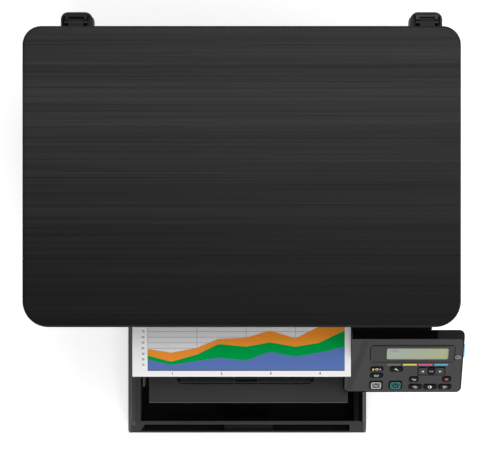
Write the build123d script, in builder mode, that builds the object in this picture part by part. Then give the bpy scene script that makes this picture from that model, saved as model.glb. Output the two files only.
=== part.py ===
from build123d import *
import os
from math import cos, sin, radians

os.makedirs("parts", exist_ok=True)

# Millimetres. X runs to the right, Y to the back and Z up, from the middle of the
# footprint on the table. The front of the machine faces -Y.

# The page that the machine takes
page_width = 215.9
page_length = 279.4
page_thickness = 0.3

# Clearances
gap = 0.3             # between pieces that move past each other or seat on each other
fit = 0.08            # radial play of a shaft or a pin in its bore
wall = 2.5            # moulded covers

# Heights, from the table up
foot_height = 6.0
floor_thickness = 3.0
body_height = 221.7   # covers, above the feet
scanner_height = 40.0
lid_gap = 1.0
lid_height = 20.0
floor_top = foot_height + floor_thickness
body_top = foot_height + body_height
scanner_bottom = body_top + gap
scanner_top = scanner_bottom + scanner_height
lid_bottom = scanner_top + lid_gap
lid_top = lid_bottom + lid_height

# Paper bay, open to the front between the two towers
bay_side_room = 21.55  # from the edge of the page to the tower
bay_depth = 50.5
bin_stack = 61.3       # what the output bin takes of the height above the bay
bay_half = page_width / 2 + bay_side_room
bay_ceiling = body_top - bin_stack
inner_half = bay_half - gap

# Printer body, seen from above
body_front = -88.0
body_depth = 278.0
left_tower = 75.5
right_tower = 65.5
body_corner = 10.0
body_rear = body_front + body_depth
body_y = body_front + body_depth / 2
body_left = -bay_half - left_tower
body_right = bay_half + right_tower
body_width = body_right - body_left
body_x = (body_left + body_right) / 2
bay_back = body_front + bay_depth

# Scanner and lid, seen from above
lid_side_overhang = 10.0
lid_front_overhang = 4.1
lid_rear_overhang = 7.5
lid_inset = 3.0       # the scanner stands back under the lid's edge
lid_rear_corner = 18.0
lid_front_corner = 25.0
lid_width = body_width + 2 * lid_side_overhang
lid_front = body_front - lid_front_overhang
lid_rear = body_rear + lid_rear_overhang
lid_depth = lid_rear - lid_front
lid_x = body_x
scanner_left = lid_x - lid_width / 2 + lid_inset
scanner_right = lid_x + lid_width / 2 - lid_inset
scanner_front = body_front
scanner_rear = lid_rear - lid_inset

# Scanner pivot, inside the tops of the two towers
pivot_inset = 18.0    # from the back of the body
pivot_drop = 13.7     # from the top of the body
pivot_y = body_rear - pivot_inset
pivot_z = body_top - pivot_drop
pivot_radius = 4.0
arm_thickness = 8.0
rear_chamfer = pivot_inset - 1.5   # the scanner's underside swings past this edge

# Side frames of sheet steel that carry the rollers
frame_thickness = 2.0
left_frame_room = 11.0   # from the paper bay's left side to the frame's outer face
right_frame_room = 1.0
frame_headroom = 5.7
frame_front_room = 7.5
frame_rear_room = 6.0
frame_left = -bay_half - left_frame_room
frame_right = bay_half + right_frame_room
frame_top = body_top - frame_headroom
frame_front = bay_back + frame_front_room
frame_rear = body_rear - frame_rear_room

# Output bin and the sheet that lies in it
sheet_x = -5.3
sheet_overhang = 55.0    # how far the sheet stands out over the body's front
sheet_lift = 1.5         # of the sheet's front edge over the lip of the bin
bin_margin = 8.0
bin_lip_depth = 16.7
bin_depth = 37.7
bin_rear_room = 80.0
sheet_right = sheet_x + page_width / 2
sheet_front = body_front - sheet_overhang
bin_front = body_front - 3.0
bin_rear = body_rear - bin_rear_room
bin_lip = body_top - bin_lip_depth
bin_rear_floor = body_top - bin_depth
bin_left = sheet_x - page_width / 2 - bin_margin
bin_right = sheet_right + bin_margin
sheet_front_z = bin_lip + sheet_lift

# Control panel: its face slopes down to the front
panel_slope = 40.0
panel_width = 117.6
panel_overlap = 6.65     # how far the panel stands over the sheet's edge
panel_reach = 18.7       # from the body's front to the top edge of the face
band_reach = 8.0
panel_pivot_reach = 6.0
panel_pivot_drop = 3.7
face_rise = 2.3
face_length = 69.7
face_overrun = 3.3       # how far the face runs on above its reference line
panel_corner = 5.0
face_thickness = 2.0
panel_left = sheet_right - panel_overlap
panel_right = panel_left + panel_width
face_top_y = body_front - panel_reach
face_top_z = body_top + face_rise
band_rear_y = body_front - band_reach
panel_pivot_y = body_front - panel_pivot_reach
panel_pivot_z = body_top - panel_pivot_drop

# Pull-out extension under the output bin
extension_x = 1.35
extension_inset = 8.2    # narrower than the page on each side
extension_overhang = 83.6
extension_engaged = 22.0
extension_lift = 3.6
extension_thickness = 5.0
extension_corner = 0.8
extension_travel = 75.0
extension_width = page_width - 2 * extension_inset
extension_front = body_front - extension_overhang
extension_rear = body_front + extension_engaged
extension_bottom = bay_ceiling + extension_lift

# Folding paper tray
tray_play = 1.9          # between the tray and the tower on each side
tray_overhang = 127.6
tray_bottom = 10.0
tray_floor = 2.5
tray_wall_top = 58.0
tray_front_top = 50.0
tray_half = bay_half - tray_play
tray_front = body_front - tray_overhang
tray_pivot_y = body_front + 4.0
tray_pivot_z = 20.0
tray_pin = 3.0


def block(x, y, z, mode=Mode.ADD):
    """A square-edged block between three pairs of limits."""
    with Locations(((x[0] + x[1]) / 2, (y[0] + y[1]) / 2, (z[0] + z[1]) / 2)):
        Box(x[1] - x[0], y[1] - y[0], z[1] - z[0], mode=mode)


def rod(x, y, z, radius, mode=Mode.ADD):
    """A round bar along X between two limits, centred on y and z."""
    with Locations(((x[0] + x[1]) / 2, y, z)):
        Cylinder(radius, x[1] - x[0], rotation=(0, 90, 0), mode=mode)


def save(part, name):
    part.label = name
    export_step(part, f"parts/{name}.step")


floor_plate = 3.0     # floor of the output bin
rib_half = 1.0        # half the width of the ribs on the two doors
past = 1.0            # how far a cut runs on past the face that it opens

# Base: the floor plate, the wall behind the paper bay and the hinge lugs on them

door_side_room = 11.5
door_sill = 51.0      # from the floor up to the front door
door_headroom = 14.4
door_thickness = 4.0
door_lip = 6.0        # how far the front door overlaps the edge of its opening
door_pin = 1.2
door_half = bay_half - door_side_room
door_bottom = floor_top + door_sill
door_top = bay_ceiling - door_headroom
door_y = bay_back - gap - door_thickness / 2
bay_wall = 3.0
lug = 1.3
pin_reach = 4.0       # how far the tray's pins stand into it
door_lug = 4.0
door_pin_reach = 5.0
paper_slot = 41.0
paper_slot_top = floor_top + paper_slot

with BuildPart() as base_frame:
    with BuildSketch(Plane.XY.offset(foot_height)):
        with Locations((body_x, body_y)):
            RectangleRounded(body_width, body_depth, body_corner)
    extrude(amount=floor_thickness)
    block((-inner_half, inner_half), (bay_back, bay_back + bay_wall), (floor_top, bay_ceiling))
    block(
        (-door_half + door_lip, door_half - door_lip),
        (bay_back, bay_back + bay_wall),
        (door_bottom + door_lip, door_top - door_lip),
        mode=Mode.SUBTRACT,
    )
    block(
        (-door_half + door_lip, door_half - door_lip),
        (bay_back, bay_back + bay_wall),
        (floor_top, paper_slot_top),
        mode=Mode.SUBTRACT,
    )
    for side in (-1, 1):
        # Tray lug with its pin pointing into the bay
        lug_in, lug_out = tray_half + gap, tray_half + gap + lug
        with BuildSketch(Plane.YZ.offset(min(side * lug_in, side * lug_out))):
            with Locations((tray_pivot_y, tray_pivot_z)):
                Circle(2 * tray_pin)
            with Locations((tray_pivot_y, (floor_top + tray_pivot_z) / 2)):
                Rectangle(4 * tray_pin, tray_pivot_z - floor_top)
        extrude(amount=lug)
        rod(sorted((side * (lug_in - pin_reach), side * lug_out)), tray_pivot_y, tray_pivot_z, tray_pin)
        # Front door lug with its pin
        block(
            sorted((side * (door_half + gap), side * (door_half + gap + door_lug))),
            (door_y - door_lug, bay_back),
            (door_bottom - door_lug / 2, door_bottom + 2 * door_pin + door_lug),
        )
        rod(
            sorted((side * (door_half - door_pin_reach), side * (door_half + gap + door_lug / 2))),
            door_y,
            door_bottom + door_thickness / 2,
            door_pin,
        )
save(base_frame.part, "base_frame")

# Feet

foot_radius = 9.0
foot_inset = 25.0
with BuildPart() as feet:
    with Locations((body_x, body_y, 0)):
        with GridLocations(body_width - 2 * foot_inset, body_depth - 2 * foot_inset, 2, 2):
            Cylinder(foot_radius, foot_height, align=(Align.CENTER, Align.CENTER, Align.MIN))
save(feet.part, "feet")

# Tower covers on the left and right, open inwards and below

vent_count = 9
vent_length = 46.0
vent_height = 2.4
vent_pitch = 6.0
vent_inset = 62.0       # centre of the louvres, from the back of the body
vent_rise = 69.0        # and from the floor
grip_length, grip_width, grip_rise, grip_sink = 110.0, 26.0, 31.0, 1.0
arm_slot_play = 1.0
arm_slot_drop = 9.0
arm_slot_front = 13.0
chamfer_drop = rear_chamfer * 1.2


def chamfer_wedge(half_width):
    """Takes the top rear edge off, so that the scanner can tilt back over it."""
    with BuildSketch(Plane.YZ.offset(body_x - half_width)) as wedge:
        with BuildLine():
            Polyline(
                (body_rear - rear_chamfer, body_top),
                (body_rear, body_top - chamfer_drop),
                (body_rear + past, body_top - chamfer_drop),
                (body_rear + past, body_top + past),
                (body_rear - rear_chamfer, body_top + past),
                close=True,
            )
        make_face()
    extrude(wedge.sketch, amount=2 * half_width, mode=Mode.SUBTRACT)


def tower_cover(outer, inner, frame_face, side):
    """One tower. side is -1 on the left and 1 on the right."""
    low, high = sorted((outer, inner))
    with BuildPart() as cover:
        with BuildSketch(Plane.XY.offset(floor_top)):
            with Locations(((low + high) / 2, body_y)):
                Rectangle(high - low, body_depth)
            fillet(vertices().group_by(Axis.X)[0 if side < 0 else -1], body_corner)
        extrude(amount=body_top - floor_top)
        chamfer_wedge(body_width)
        inner_face = faces().sort_by(Axis.X)[-1 if side < 0 else 0]
        offset(amount=-wall, openings=[inner_face, faces().sort_by(Axis.Z)[0]])
        # The inward wall beside the paper bay
        block(
            sorted((inner, inner + side * wall)),
            (body_front, bay_back + bay_wall),
            (floor_top, body_top - wall),
        )
        # Slot for the scanner's arm
        arm_near = frame_face + side * arm_slot_play
        block(
            sorted((arm_near, arm_near + side * (arm_thickness + 2 * arm_slot_play))),
            (pivot_y - arm_slot_front, body_rear),
            (pivot_z - arm_slot_drop, body_top),
            mode=Mode.SUBTRACT,
        )
        # Louvres low down on the outer wall
        with BuildSketch(Plane.YZ.offset(low - past if side < 0 else high - wall - past)):
            with Locations((body_rear - vent_inset, floor_top + vent_rise)):
                with GridLocations(vent_length, vent_pitch, 1, vent_count):
                    SlotOverall(vent_length, vent_height)
        extrude(amount=wall + 2 * past, mode=Mode.SUBTRACT)
        # Grip recess for carrying, moulded into the outer wall
        with BuildSketch(Plane.YZ.offset(low if side < 0 else high - grip_sink)):
            with Locations((body_y, floor_top + grip_rise)):
                RectangleRounded(grip_length, grip_width, grip_width / 3)
        extrude(amount=grip_sink, mode=Mode.SUBTRACT)
    return cover


port_inset, port_rise, port_width, port_height = 33.0, 67.0, 34.0, 44.0
inlet_inset, inlet_rise, inlet_width, inlet_height = 27.0, 35.0, 28.0, 22.0
port_x, port_z = body_left + port_inset, floor_top + port_rise
inlet_x, inlet_z = body_right - inlet_inset, floor_top + inlet_rise

left_cover = tower_cover(body_left, -bay_half, frame_left, -1)
right_cover = tower_cover(body_right, bay_half, frame_right + frame_thickness, 1)
with BuildPart() as left_cover_cut:
    add(left_cover.part)
    block(
        (port_x - port_width / 2, port_x + port_width / 2),
        (body_rear - wall, body_rear),
        (port_z - port_height / 2, port_z + port_height / 2),
        mode=Mode.SUBTRACT,
    )
with BuildPart() as right_cover_cut:
    add(right_cover.part)
    block(
        (inlet_x - inlet_width / 2, inlet_x + inlet_width / 2),
        (body_rear - wall, body_rear),
        (inlet_z - inlet_height / 2, inlet_z + inlet_height / 2),
        mode=Mode.SUBTRACT,
    )
save(left_cover_cut.part, "left_cover")
save(right_cover_cut.part, "right_cover")

# Connection plate with two sockets, and the power inlet

plate = 1.5
plate_rim = 4.0
box_half_width, box_half_height, box_depth = 10.0, 18.0, 16.0
socket_depth = 16.0
# Width, height and middle height of the two sockets, from the plate's middle
sockets = ((8.4, 8.0, -10.0), (12.0, 12.0, 8.0))
with BuildPart() as rear_ports:
    block(
        (port_x - port_width / 2 - plate_rim, port_x + port_width / 2 + plate_rim),
        (body_rear - wall - plate, body_rear - wall),
        (port_z - port_height / 2 - plate_rim, port_z + port_height / 2 + plate_rim),
    )
    block(
        (port_x - box_half_width, port_x + box_half_width),
        (body_rear - wall - box_depth, body_rear - wall + plate / 2),
        (port_z - box_half_height, port_z + box_half_height),
    )
    for width, height, rise in sockets:
        block(
            (port_x - width / 2, port_x + width / 2),
            (body_rear - socket_depth, body_rear),
            (port_z + rise - height / 2, port_z + rise + height / 2),
            mode=Mode.SUBTRACT,
        )
save(rear_ports.part, "rear_ports")

inlet_play = 0.2
inlet_rim, inlet_depth = 3.0, 18.0
well_width, well_height, well_depth, well_corner = 24.0, 17.0, 16.0, 2.5
blade_spread, blade_offset, blade_half_width, blade_half_height = 7.0, 2.0, 1.0, 2.0
blade_recess = 3.0
with BuildPart() as power_inlet:
    block(
        (inlet_x - inlet_width / 2 - inlet_rim, inlet_x + inlet_width / 2 + inlet_rim),
        (body_rear - wall - plate, body_rear - wall),
        (inlet_z - inlet_height / 2 - inlet_rim, inlet_z + inlet_height / 2 + inlet_rim),
    )
    with BuildSketch(Plane.XZ.offset(-(body_rear - wall - inlet_depth))):
        with Locations((inlet_x, inlet_z)):
            RectangleRounded(inlet_width - 2 * inlet_play, inlet_height - 2 * inlet_play, inlet_rim)
    extrude(amount=-(wall + inlet_depth))
    with BuildSketch(Plane.XZ.offset(-(body_rear - well_depth))):
        with Locations((inlet_x, inlet_z)):
            RectangleRounded(well_width, well_height, well_corner)
    extrude(amount=-well_depth, mode=Mode.SUBTRACT)
    for blade in (-1, 0, 1):
        blade_x = inlet_x + blade * blade_spread
        blade_z = inlet_z + (blade_offset if blade == 0 else -blade_offset)
        block(
            (blade_x - blade_half_width, blade_x + blade_half_width),
            (body_rear - well_depth - blade_half_width, body_rear - blade_recess),
            (blade_z - blade_half_height, blade_z + blade_half_height),
        )
save(power_inlet.part, "power_inlet")

# Rollers between the side frames: shafts, radii and centres. The toner carousel fills
# the height between the paper path and the output bin, and the drum stands behind it

pickup_shaft, pickup_radius, pickup_inset, pickup_rise = 4.0, 14.0, 22.5, 29.0
carousel_shaft, carousel_front_room, carousel_floor_room, carousel_headroom = 6.0, 5.5, 38.0, 5.4
drum_shaft, drum_radius, drum_room, drum_rise = 4.0, 12.0, 2.5, 4.0
exit_shaft, exit_radius, exit_inset, exit_rise = 3.0, 6.0, 54.0, 5.0
fuser_shaft, fuser_radius, fuser_inset, fuser_drop = 4.0, 11.0, 47.0, 62.7
pickup_y, pickup_z = bay_back + pickup_inset, floor_top + pickup_rise
carousel_radius = (bay_ceiling - carousel_headroom - floor_top - carousel_floor_room) / 2
carousel_y = bay_back + bay_wall + carousel_front_room + carousel_radius
carousel_z = floor_top + carousel_floor_room + carousel_radius
drum_y = carousel_y + carousel_radius + drum_room + drum_radius
drum_z = carousel_z + drum_rise
exit_y, exit_z = body_rear - exit_inset, bin_rear_floor + exit_rise
fuser_y, fuser_z = body_rear - fuser_inset, body_top - fuser_drop
pinch_z = exit_z + 2 * exit_radius + 3 * page_thickness
bearings = (
    (pickup_y, pickup_z, pickup_shaft),
    (carousel_y, carousel_z, carousel_shaft),
    (drum_y, drum_z, drum_shaft),
    (exit_y, exit_z, exit_shaft),
    (exit_y, pinch_z, exit_shaft),
)
shaft_end = 2.0       # how far the shafts stand out of the frames
roller_inset = 22.5
shaft_left = frame_left - shaft_end
shaft_right = frame_right + frame_thickness + shaft_end
roller_left = frame_left + roller_inset
roller_right = frame_right - roller_inset
frame_chamfer = 12.0
stub_end = 3.5        # how far the pivot stubs stand past the scanner's arms
# Lightening holes in the side frames: two low down and one below the fuser
hole_radius = 13.0
front_hole_inset, front_hole_rise = 90.0, 23.0
middle_hole_inset, middle_hole_rise = 64.0, 31.0
rear_hole_inset, rear_hole_drop = 24.0, 55.0
holes = (
    (frame_front + front_hole_inset, floor_top + front_hole_rise),
    (frame_rear - middle_hole_inset, floor_top + middle_hole_rise),
    (frame_rear - rear_hole_inset, fuser_z - rear_hole_drop),
)

with BuildPart() as side_frames:
    for face_x, side in ((frame_left, -1), (frame_right, 1)):
        with BuildSketch(Plane.YZ.offset(face_x)):
            with Locations(((frame_front + frame_rear) / 2, (floor_top + frame_top) / 2)):
                Rectangle(frame_rear - frame_front, frame_top - floor_top)
            chamfer(vertices().group_by(Axis.Y)[-1].sort_by(Axis.X)[-1], frame_chamfer)
            for y, z, radius in bearings:
                with Locations((y, z)):
                    Circle(radius + fit, mode=Mode.SUBTRACT)
            with Locations(*holes):
                Circle(hole_radius, mode=Mode.SUBTRACT)
        extrude(amount=frame_thickness)
        outer = face_x if side < 0 else face_x + frame_thickness
        rod(sorted((outer, outer + side * (arm_thickness + stub_end))), pivot_y, pivot_z, pivot_radius)
save(side_frames.part, "side_frames")

# Pickup roller: a shaft with two rubber tyres

pickup_tyre, pickup_spread = 28.0, 42.0
with BuildPart() as pickup_roller:
    rod((shaft_left, shaft_right), pickup_y, pickup_z, pickup_shaft)
    for side in (-1, 1):
        tyre_x = body_x + side * pickup_spread / 2
        rod((tyre_x - pickup_tyre / 2, tyre_x + pickup_tyre / 2), pickup_y, pickup_z, pickup_radius)
save(pickup_roller.part, "pickup_roller")

# Exit rollers, above and below the sheet

exit_tyre = 26.0
exit_pitch = page_width / 4
for name, z in (("exit_roller", exit_z), ("exit_pinch_roller", pinch_z)):
    with BuildPart() as exit_part:
        rod((shaft_left, shaft_right), exit_y, z, exit_shaft)
        for place in (-1.5, -0.5, 0.5, 1.5):
            tyre_x = sheet_x + place * exit_pitch
            rod((tyre_x - exit_tyre / 2, tyre_x + exit_tyre / 2), exit_y, z, exit_radius)
    save(exit_part.part, name)

# Imaging drum

with BuildPart() as imaging_drum:
    rod((shaft_left, shaft_right), drum_y, drum_z, drum_shaft)
    rod((roller_left, roller_right), drum_y, drum_z, drum_radius)
save(imaging_drum.part, "imaging_drum")

# Toner carousel: a cross-shaped frame with four cartridges between its arms

disc_thickness = 4.0
hub_radius = 12.0
arm_web = 3.0
cartridge_gap = 0.4
carousel_rim = 2.0
with BuildPart() as carousel_frame:
    rod((shaft_left, shaft_right), carousel_y, carousel_z, carousel_shaft)
    rod((roller_left, roller_right), carousel_y, carousel_z, hub_radius)
    with BuildSketch(Plane.YZ.offset(roller_left)):
        with Locations((carousel_y, carousel_z)):
            Rectangle(2 * (carousel_radius - carousel_rim), arm_web)
            Rectangle(arm_web, 2 * (carousel_radius - carousel_rim))
    extrude(amount=roller_right - roller_left)
    rod((roller_left - disc_thickness, roller_left), carousel_y, carousel_z, carousel_radius)
    rod((roller_right, roller_right + disc_thickness), carousel_y, carousel_z, carousel_radius)
save(carousel_frame.part, "carousel_frame")

for turn, colour in enumerate(("black", "cyan", "magenta", "yellow")):
    angle = radians(90 * turn)
    seat = Plane(
        origin=(roller_left + cartridge_gap, carousel_y, carousel_z),
        x_dir=(0, cos(angle), sin(angle)),
        z_dir=(1, 0, 0),
    )
    with BuildPart() as cartridge:
        with BuildSketch(seat):
            Circle(carousel_radius - carousel_rim)
            Circle(hub_radius + cartridge_gap, mode=Mode.SUBTRACT)
            inset = arm_web / 2 + cartridge_gap
            with Locations((inset, inset)):
                Rectangle(
                    carousel_radius,
                    carousel_radius,
                    align=(Align.MIN, Align.MIN),
                    mode=Mode.INTERSECT,
                )
        extrude(amount=roller_right - roller_left - 2 * cartridge_gap)
    save(cartridge.part, f"toner_{colour}")

# Fuser: a housing with a heated roller and a pressure roller

pressure_y = fuser_y + 2 * fuser_radius + gap
nip_y = (fuser_y + pressure_y) / 2
fuser_wall = 3.0
fuser_front_room, fuser_rear_room, fuser_floor_room, fuser_headroom = 6.0, 3.0, 8.0, 4.0
slit_inset, slit_half = 12.0, 4.0
housing_left = frame_left + frame_thickness + gap
housing_right = frame_right - gap
housing_front = fuser_y - fuser_radius - fuser_front_room
housing_rear = pressure_y + fuser_radius + fuser_rear_room
housing_bottom = fuser_z - fuser_radius - fuser_floor_room
housing_top = fuser_z + fuser_radius + fuser_headroom
with BuildPart() as fuser_housing:
    block((housing_left, housing_right), (housing_front, housing_rear), (housing_bottom, housing_top))
    block(
        (housing_left + fuser_wall, housing_right - fuser_wall),
        (housing_front + fuser_wall, housing_rear - fuser_wall),
        (housing_bottom + fuser_wall, housing_top - fuser_wall),
        mode=Mode.SUBTRACT,
    )
    # Slits in the floor and the roof, through which the sheet runs
    block(
        (housing_left + slit_inset, housing_right - slit_inset),
        (nip_y - slit_half, nip_y + slit_half),
        (housing_bottom, housing_top),
        mode=Mode.SUBTRACT,
    )
    for y in (fuser_y, pressure_y):
        rod((housing_left, housing_right), y, fuser_z, fuser_shaft + fit, mode=Mode.SUBTRACT)
save(fuser_housing.part, "fuser_housing")

for name, y in (("fuser_roller", fuser_y), ("pressure_roller", pressure_y)):
    with BuildPart() as fuser_part:
        rod((housing_left + gap, housing_right - gap), y, fuser_z, fuser_shaft)
        rod((roller_left, roller_right), y, fuser_z, fuser_radius)
    save(fuser_part.part, name)

# Front door behind the paper bay

door_rib_pitch = 42.0
ledge_half_width, ledge_reach, ledge_top_drop, ledge_thickness = 26.0, 5.0, 7.0, 3.0
with BuildPart() as front_door:
    with BuildSketch(Plane.YZ.offset(-door_half)):
        with Locations((door_y, (door_bottom + door_top) / 2 + door_thickness / 4)):
            Rectangle(door_thickness, door_top - door_bottom - door_thickness / 2)
        with Locations((door_y, door_bottom + door_thickness / 2)):
            Circle(door_thickness / 2)
    extrude(amount=2 * door_half)
    # Ribs on the inside, within the opening
    for rib in range(-2, 3):
        block(
            (rib * door_rib_pitch - rib_half, rib * door_rib_pitch + rib_half),
            (door_y + door_thickness / 2, bay_back + bay_wall),
            (door_bottom + 2 * door_lip, door_top - door_lip - 2 * rib_half),
        )
    # Finger ledge
    block(
        (-ledge_half_width, ledge_half_width),
        (door_y - door_thickness / 2 - ledge_reach, door_y),
        (door_top - ledge_top_drop - ledge_thickness, door_top - ledge_top_drop),
    )
    for side in (-1, 1):
        rod(
            sorted((side * (door_half - door_pin_reach - 2 * gap), side * door_half)),
            door_y,
            door_bottom + door_thickness / 2,
            door_pin + fit,
            mode=Mode.SUBTRACT,
        )
save(front_door.part, "front_door")

# Rear cover with the opening for the rear door

rear_side_room = 13.5
rear_sill = 33.0
rear_headroom = 27.7
rear_pin = 0.9
rear_pin_reach = 4.0
rear_door_thickness = 3.0
rear_rib_pitch, rear_rib_depth = 32.0, 3.0
rear_rib_low, rear_rib_high = 10.0, 8.0
notch_width, notch_depth, notch_corner, notch_sink = 60.0, 8.0, 6.0, 1.4
wall_bend = 1.0       # keeps the wall about even round the bends of the cover
rear_open_half = bay_half - rear_side_room
rear_open_bottom = floor_top + rear_sill
rear_open_top = body_top - rear_headroom
rear_pivot_y = body_rear - rear_door_thickness / 2
rear_pivot_z = rear_open_bottom + 3 * gap + rear_door_thickness / 2
cover_front = bin_rear + floor_plate + gap
with BuildPart() as rear_cover:
    with BuildSketch(Plane.YZ.offset(-inner_half)):
        with BuildLine():
            Polyline(
                (cover_front, body_top),
                (body_rear - rear_chamfer, body_top),
                (body_rear, body_top - chamfer_drop),
                (body_rear, floor_top),
                (body_rear - wall, floor_top),
                (body_rear - wall, body_top - chamfer_drop - wall_bend),
                (body_rear - rear_chamfer - wall_bend, body_top - wall),
                (cover_front, body_top - wall),
                close=True,
            )
        make_face()
    extrude(amount=2 * inner_half)
    block(
        (-rear_open_half, rear_open_half),
        (body_rear - wall, body_rear),
        (rear_open_bottom, rear_open_top),
        mode=Mode.SUBTRACT,
    )
    for side in (-1, 1):
        rod(
            sorted((side * (rear_open_half - rear_pin_reach), side * (rear_open_half + rib_half))),
            rear_pivot_y,
            rear_pivot_z,
            rear_pin,
        )
save(rear_cover.part, "rear_cover")

rear_half = rear_open_half - 2 * gap
with BuildPart() as rear_door:
    with BuildSketch(Plane.YZ.offset(-rear_half)):
        with Locations((rear_pivot_y, (rear_pivot_z + rear_open_top - gap) / 2)):
            Rectangle(rear_door_thickness, rear_open_top - gap - rear_pivot_z)
        with Locations((rear_pivot_y, rear_pivot_z)):
            Circle(rear_door_thickness / 2)
    extrude(amount=2 * rear_half)
    for rib in range(-3, 4):
        block(
            (rib * rear_rib_pitch - rib_half, rib * rear_rib_pitch + rib_half),
            (body_rear - rear_door_thickness - rear_rib_depth, body_rear - rear_door_thickness),
            (rear_pivot_z + rear_rib_low, rear_open_top - rear_rib_high),
        )
    # Finger notch in the top edge
    with BuildSketch(Plane.XZ.offset(-body_rear)):
        with Locations((0, rear_open_top)):
            RectangleRounded(notch_width, 2 * notch_depth, notch_corner)
    extrude(amount=notch_sink, mode=Mode.SUBTRACT)
    for side in (-1, 1):
        rod(
            sorted((side * (rear_half - rear_pin_reach - rib_half), side * rear_half)),
            rear_pivot_y,
            rear_pivot_z,
            rear_pin + fit,
            mode=Mode.SUBTRACT,
        )
save(rear_door.part, "rear_door")

# Output bin, with the rails of the pull-out extension hanging below it

bin_wall = 2.5
bin_top = body_top - 1.0
slot_floor = extension_bottom - gap
extension_top = extension_bottom + extension_thickness
extension_left = extension_x - extension_width / 2
extension_right = extension_x + extension_width / 2
slot_end = 4.0        # behind the extension when it is pushed in
slot_rear = extension_rear + extension_travel + slot_end
guide_rail = 5.0
guide_lip, guide_roof = 1.0, 2.0
front_skirt = 8.0     # how far the front wall hangs down over the paper bay
lip_depth, lip_chamfer_drop, lip_chamfer = 5.0, 1.5, 2.0
lip_web = 0.6
slot_side_room, slot_low, slot_high = 2.0, 2.0, 12.0
exit_slot_low = exit_z + slot_low
exit_slot_high = exit_z + slot_high
with BuildPart() as output_bin:
    # Front wall across the whole machine, cut down to the lip of the bin
    block((-inner_half, inner_half), (bin_front, body_front + gap), (bay_ceiling - front_skirt, bin_top))
    block(
        (bin_left, bin_right),
        (bin_front, body_front + gap),
        (bin_lip - lip_chamfer, bin_top),
        mode=Mode.SUBTRACT,
    )
    # Floor of the bin, falling to the back, and its rear wall
    with BuildSketch(Plane.YZ.offset(bin_left)):
        with BuildLine():
            Polyline(
                (bin_front, bin_lip - lip_depth),
                (bin_front, bin_lip - lip_chamfer_drop),
                (bin_front + lip_chamfer, bin_lip),
                (bin_rear, bin_rear_floor),
                (bin_rear, bin_top),
                (bin_rear + floor_plate, bin_top),
                (bin_rear + floor_plate, bin_rear_floor - floor_plate),
                (body_front + gap, bin_lip - floor_plate - lip_web),
                (body_front + gap, bin_lip - lip_depth),
                close=True,
            )
        make_face()
    extrude(amount=bin_right - bin_left)
    for inner_x, side in ((bin_left, -1), (bin_right, 1)):
        block(
            sorted((inner_x, inner_x + side * bin_wall)),
            (bin_front, bin_rear + floor_plate),
            (bin_rear_floor - floor_plate, bin_top),
        )
        block(
            sorted((inner_x, side * inner_half)),
            (bin_front, bin_rear + floor_plate),
            (bin_top - bin_wall, bin_top),
        )
    # Side rails for the extension, with a lip over its edges
    for edge, side in ((extension_left, -1), (extension_right, 1)):
        block(
            sorted((edge + side * gap, edge + side * guide_rail)),
            (bin_front, slot_rear),
            (slot_floor, extension_top + gap),
        )
        block(
            sorted((edge + side * (gap - guide_lip), edge + side * guide_rail)),
            (bin_front, slot_rear),
            (extension_top + gap, extension_top + guide_roof),
        )
    block(
        (extension_left - gap, extension_right + gap),
        (bin_front, body_front + gap),
        (bay_ceiling - front_skirt, extension_top + gap),
        mode=Mode.SUBTRACT,
    )
    # Slot through which the sheet comes out
    block(
        (bin_left + slot_side_room, bin_right - slot_side_room),
        (bin_rear, bin_rear + floor_plate),
        (exit_slot_low, exit_slot_high),
        mode=Mode.SUBTRACT,
    )
save(output_bin.part, "output_bin")

# Floor on which the extension slides, with the sill of its slot at the front

with BuildPart() as extension_guide:
    block(
        (extension_left - guide_rail, extension_right + guide_rail),
        (body_front + gap, slot_rear),
        (bay_ceiling, slot_floor),
    )
    block(
        (extension_left - gap, extension_right + gap),
        (bin_front, body_front + gap),
        (bay_ceiling - front_skirt, slot_floor),
    )
save(extension_guide.part, "extension_guide")

# Sheet on its way out, bent over the lip of the bin

sheet_end = 2.0       # how far the sheet reaches in past the middle of the exit rollers
sheet_rear = exit_y - sheet_end
sheet_rear_z = exit_z + exit_radius + 1.5 * page_thickness
bend_reach, bend_rise, bend_radius = 18.0, 3.4, 129.0
bend_y, bend_z = body_front - bend_reach, bin_lip + bend_rise
with BuildPart() as printed_sheet:
    with BuildSketch(Plane.YZ.offset(sheet_x - page_width / 2)):
        with BuildLine():
            FilletPolyline(
                (sheet_rear, sheet_rear_z),
                (bend_y, bend_z),
                (sheet_front, sheet_front_z),
                radius=bend_radius,
            )
        trace(line_width=page_thickness)
    extrude(amount=page_width)
save(printed_sheet.part, "printed_sheet")

# Extension: a plate with a recess that holds the folding stop

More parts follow.
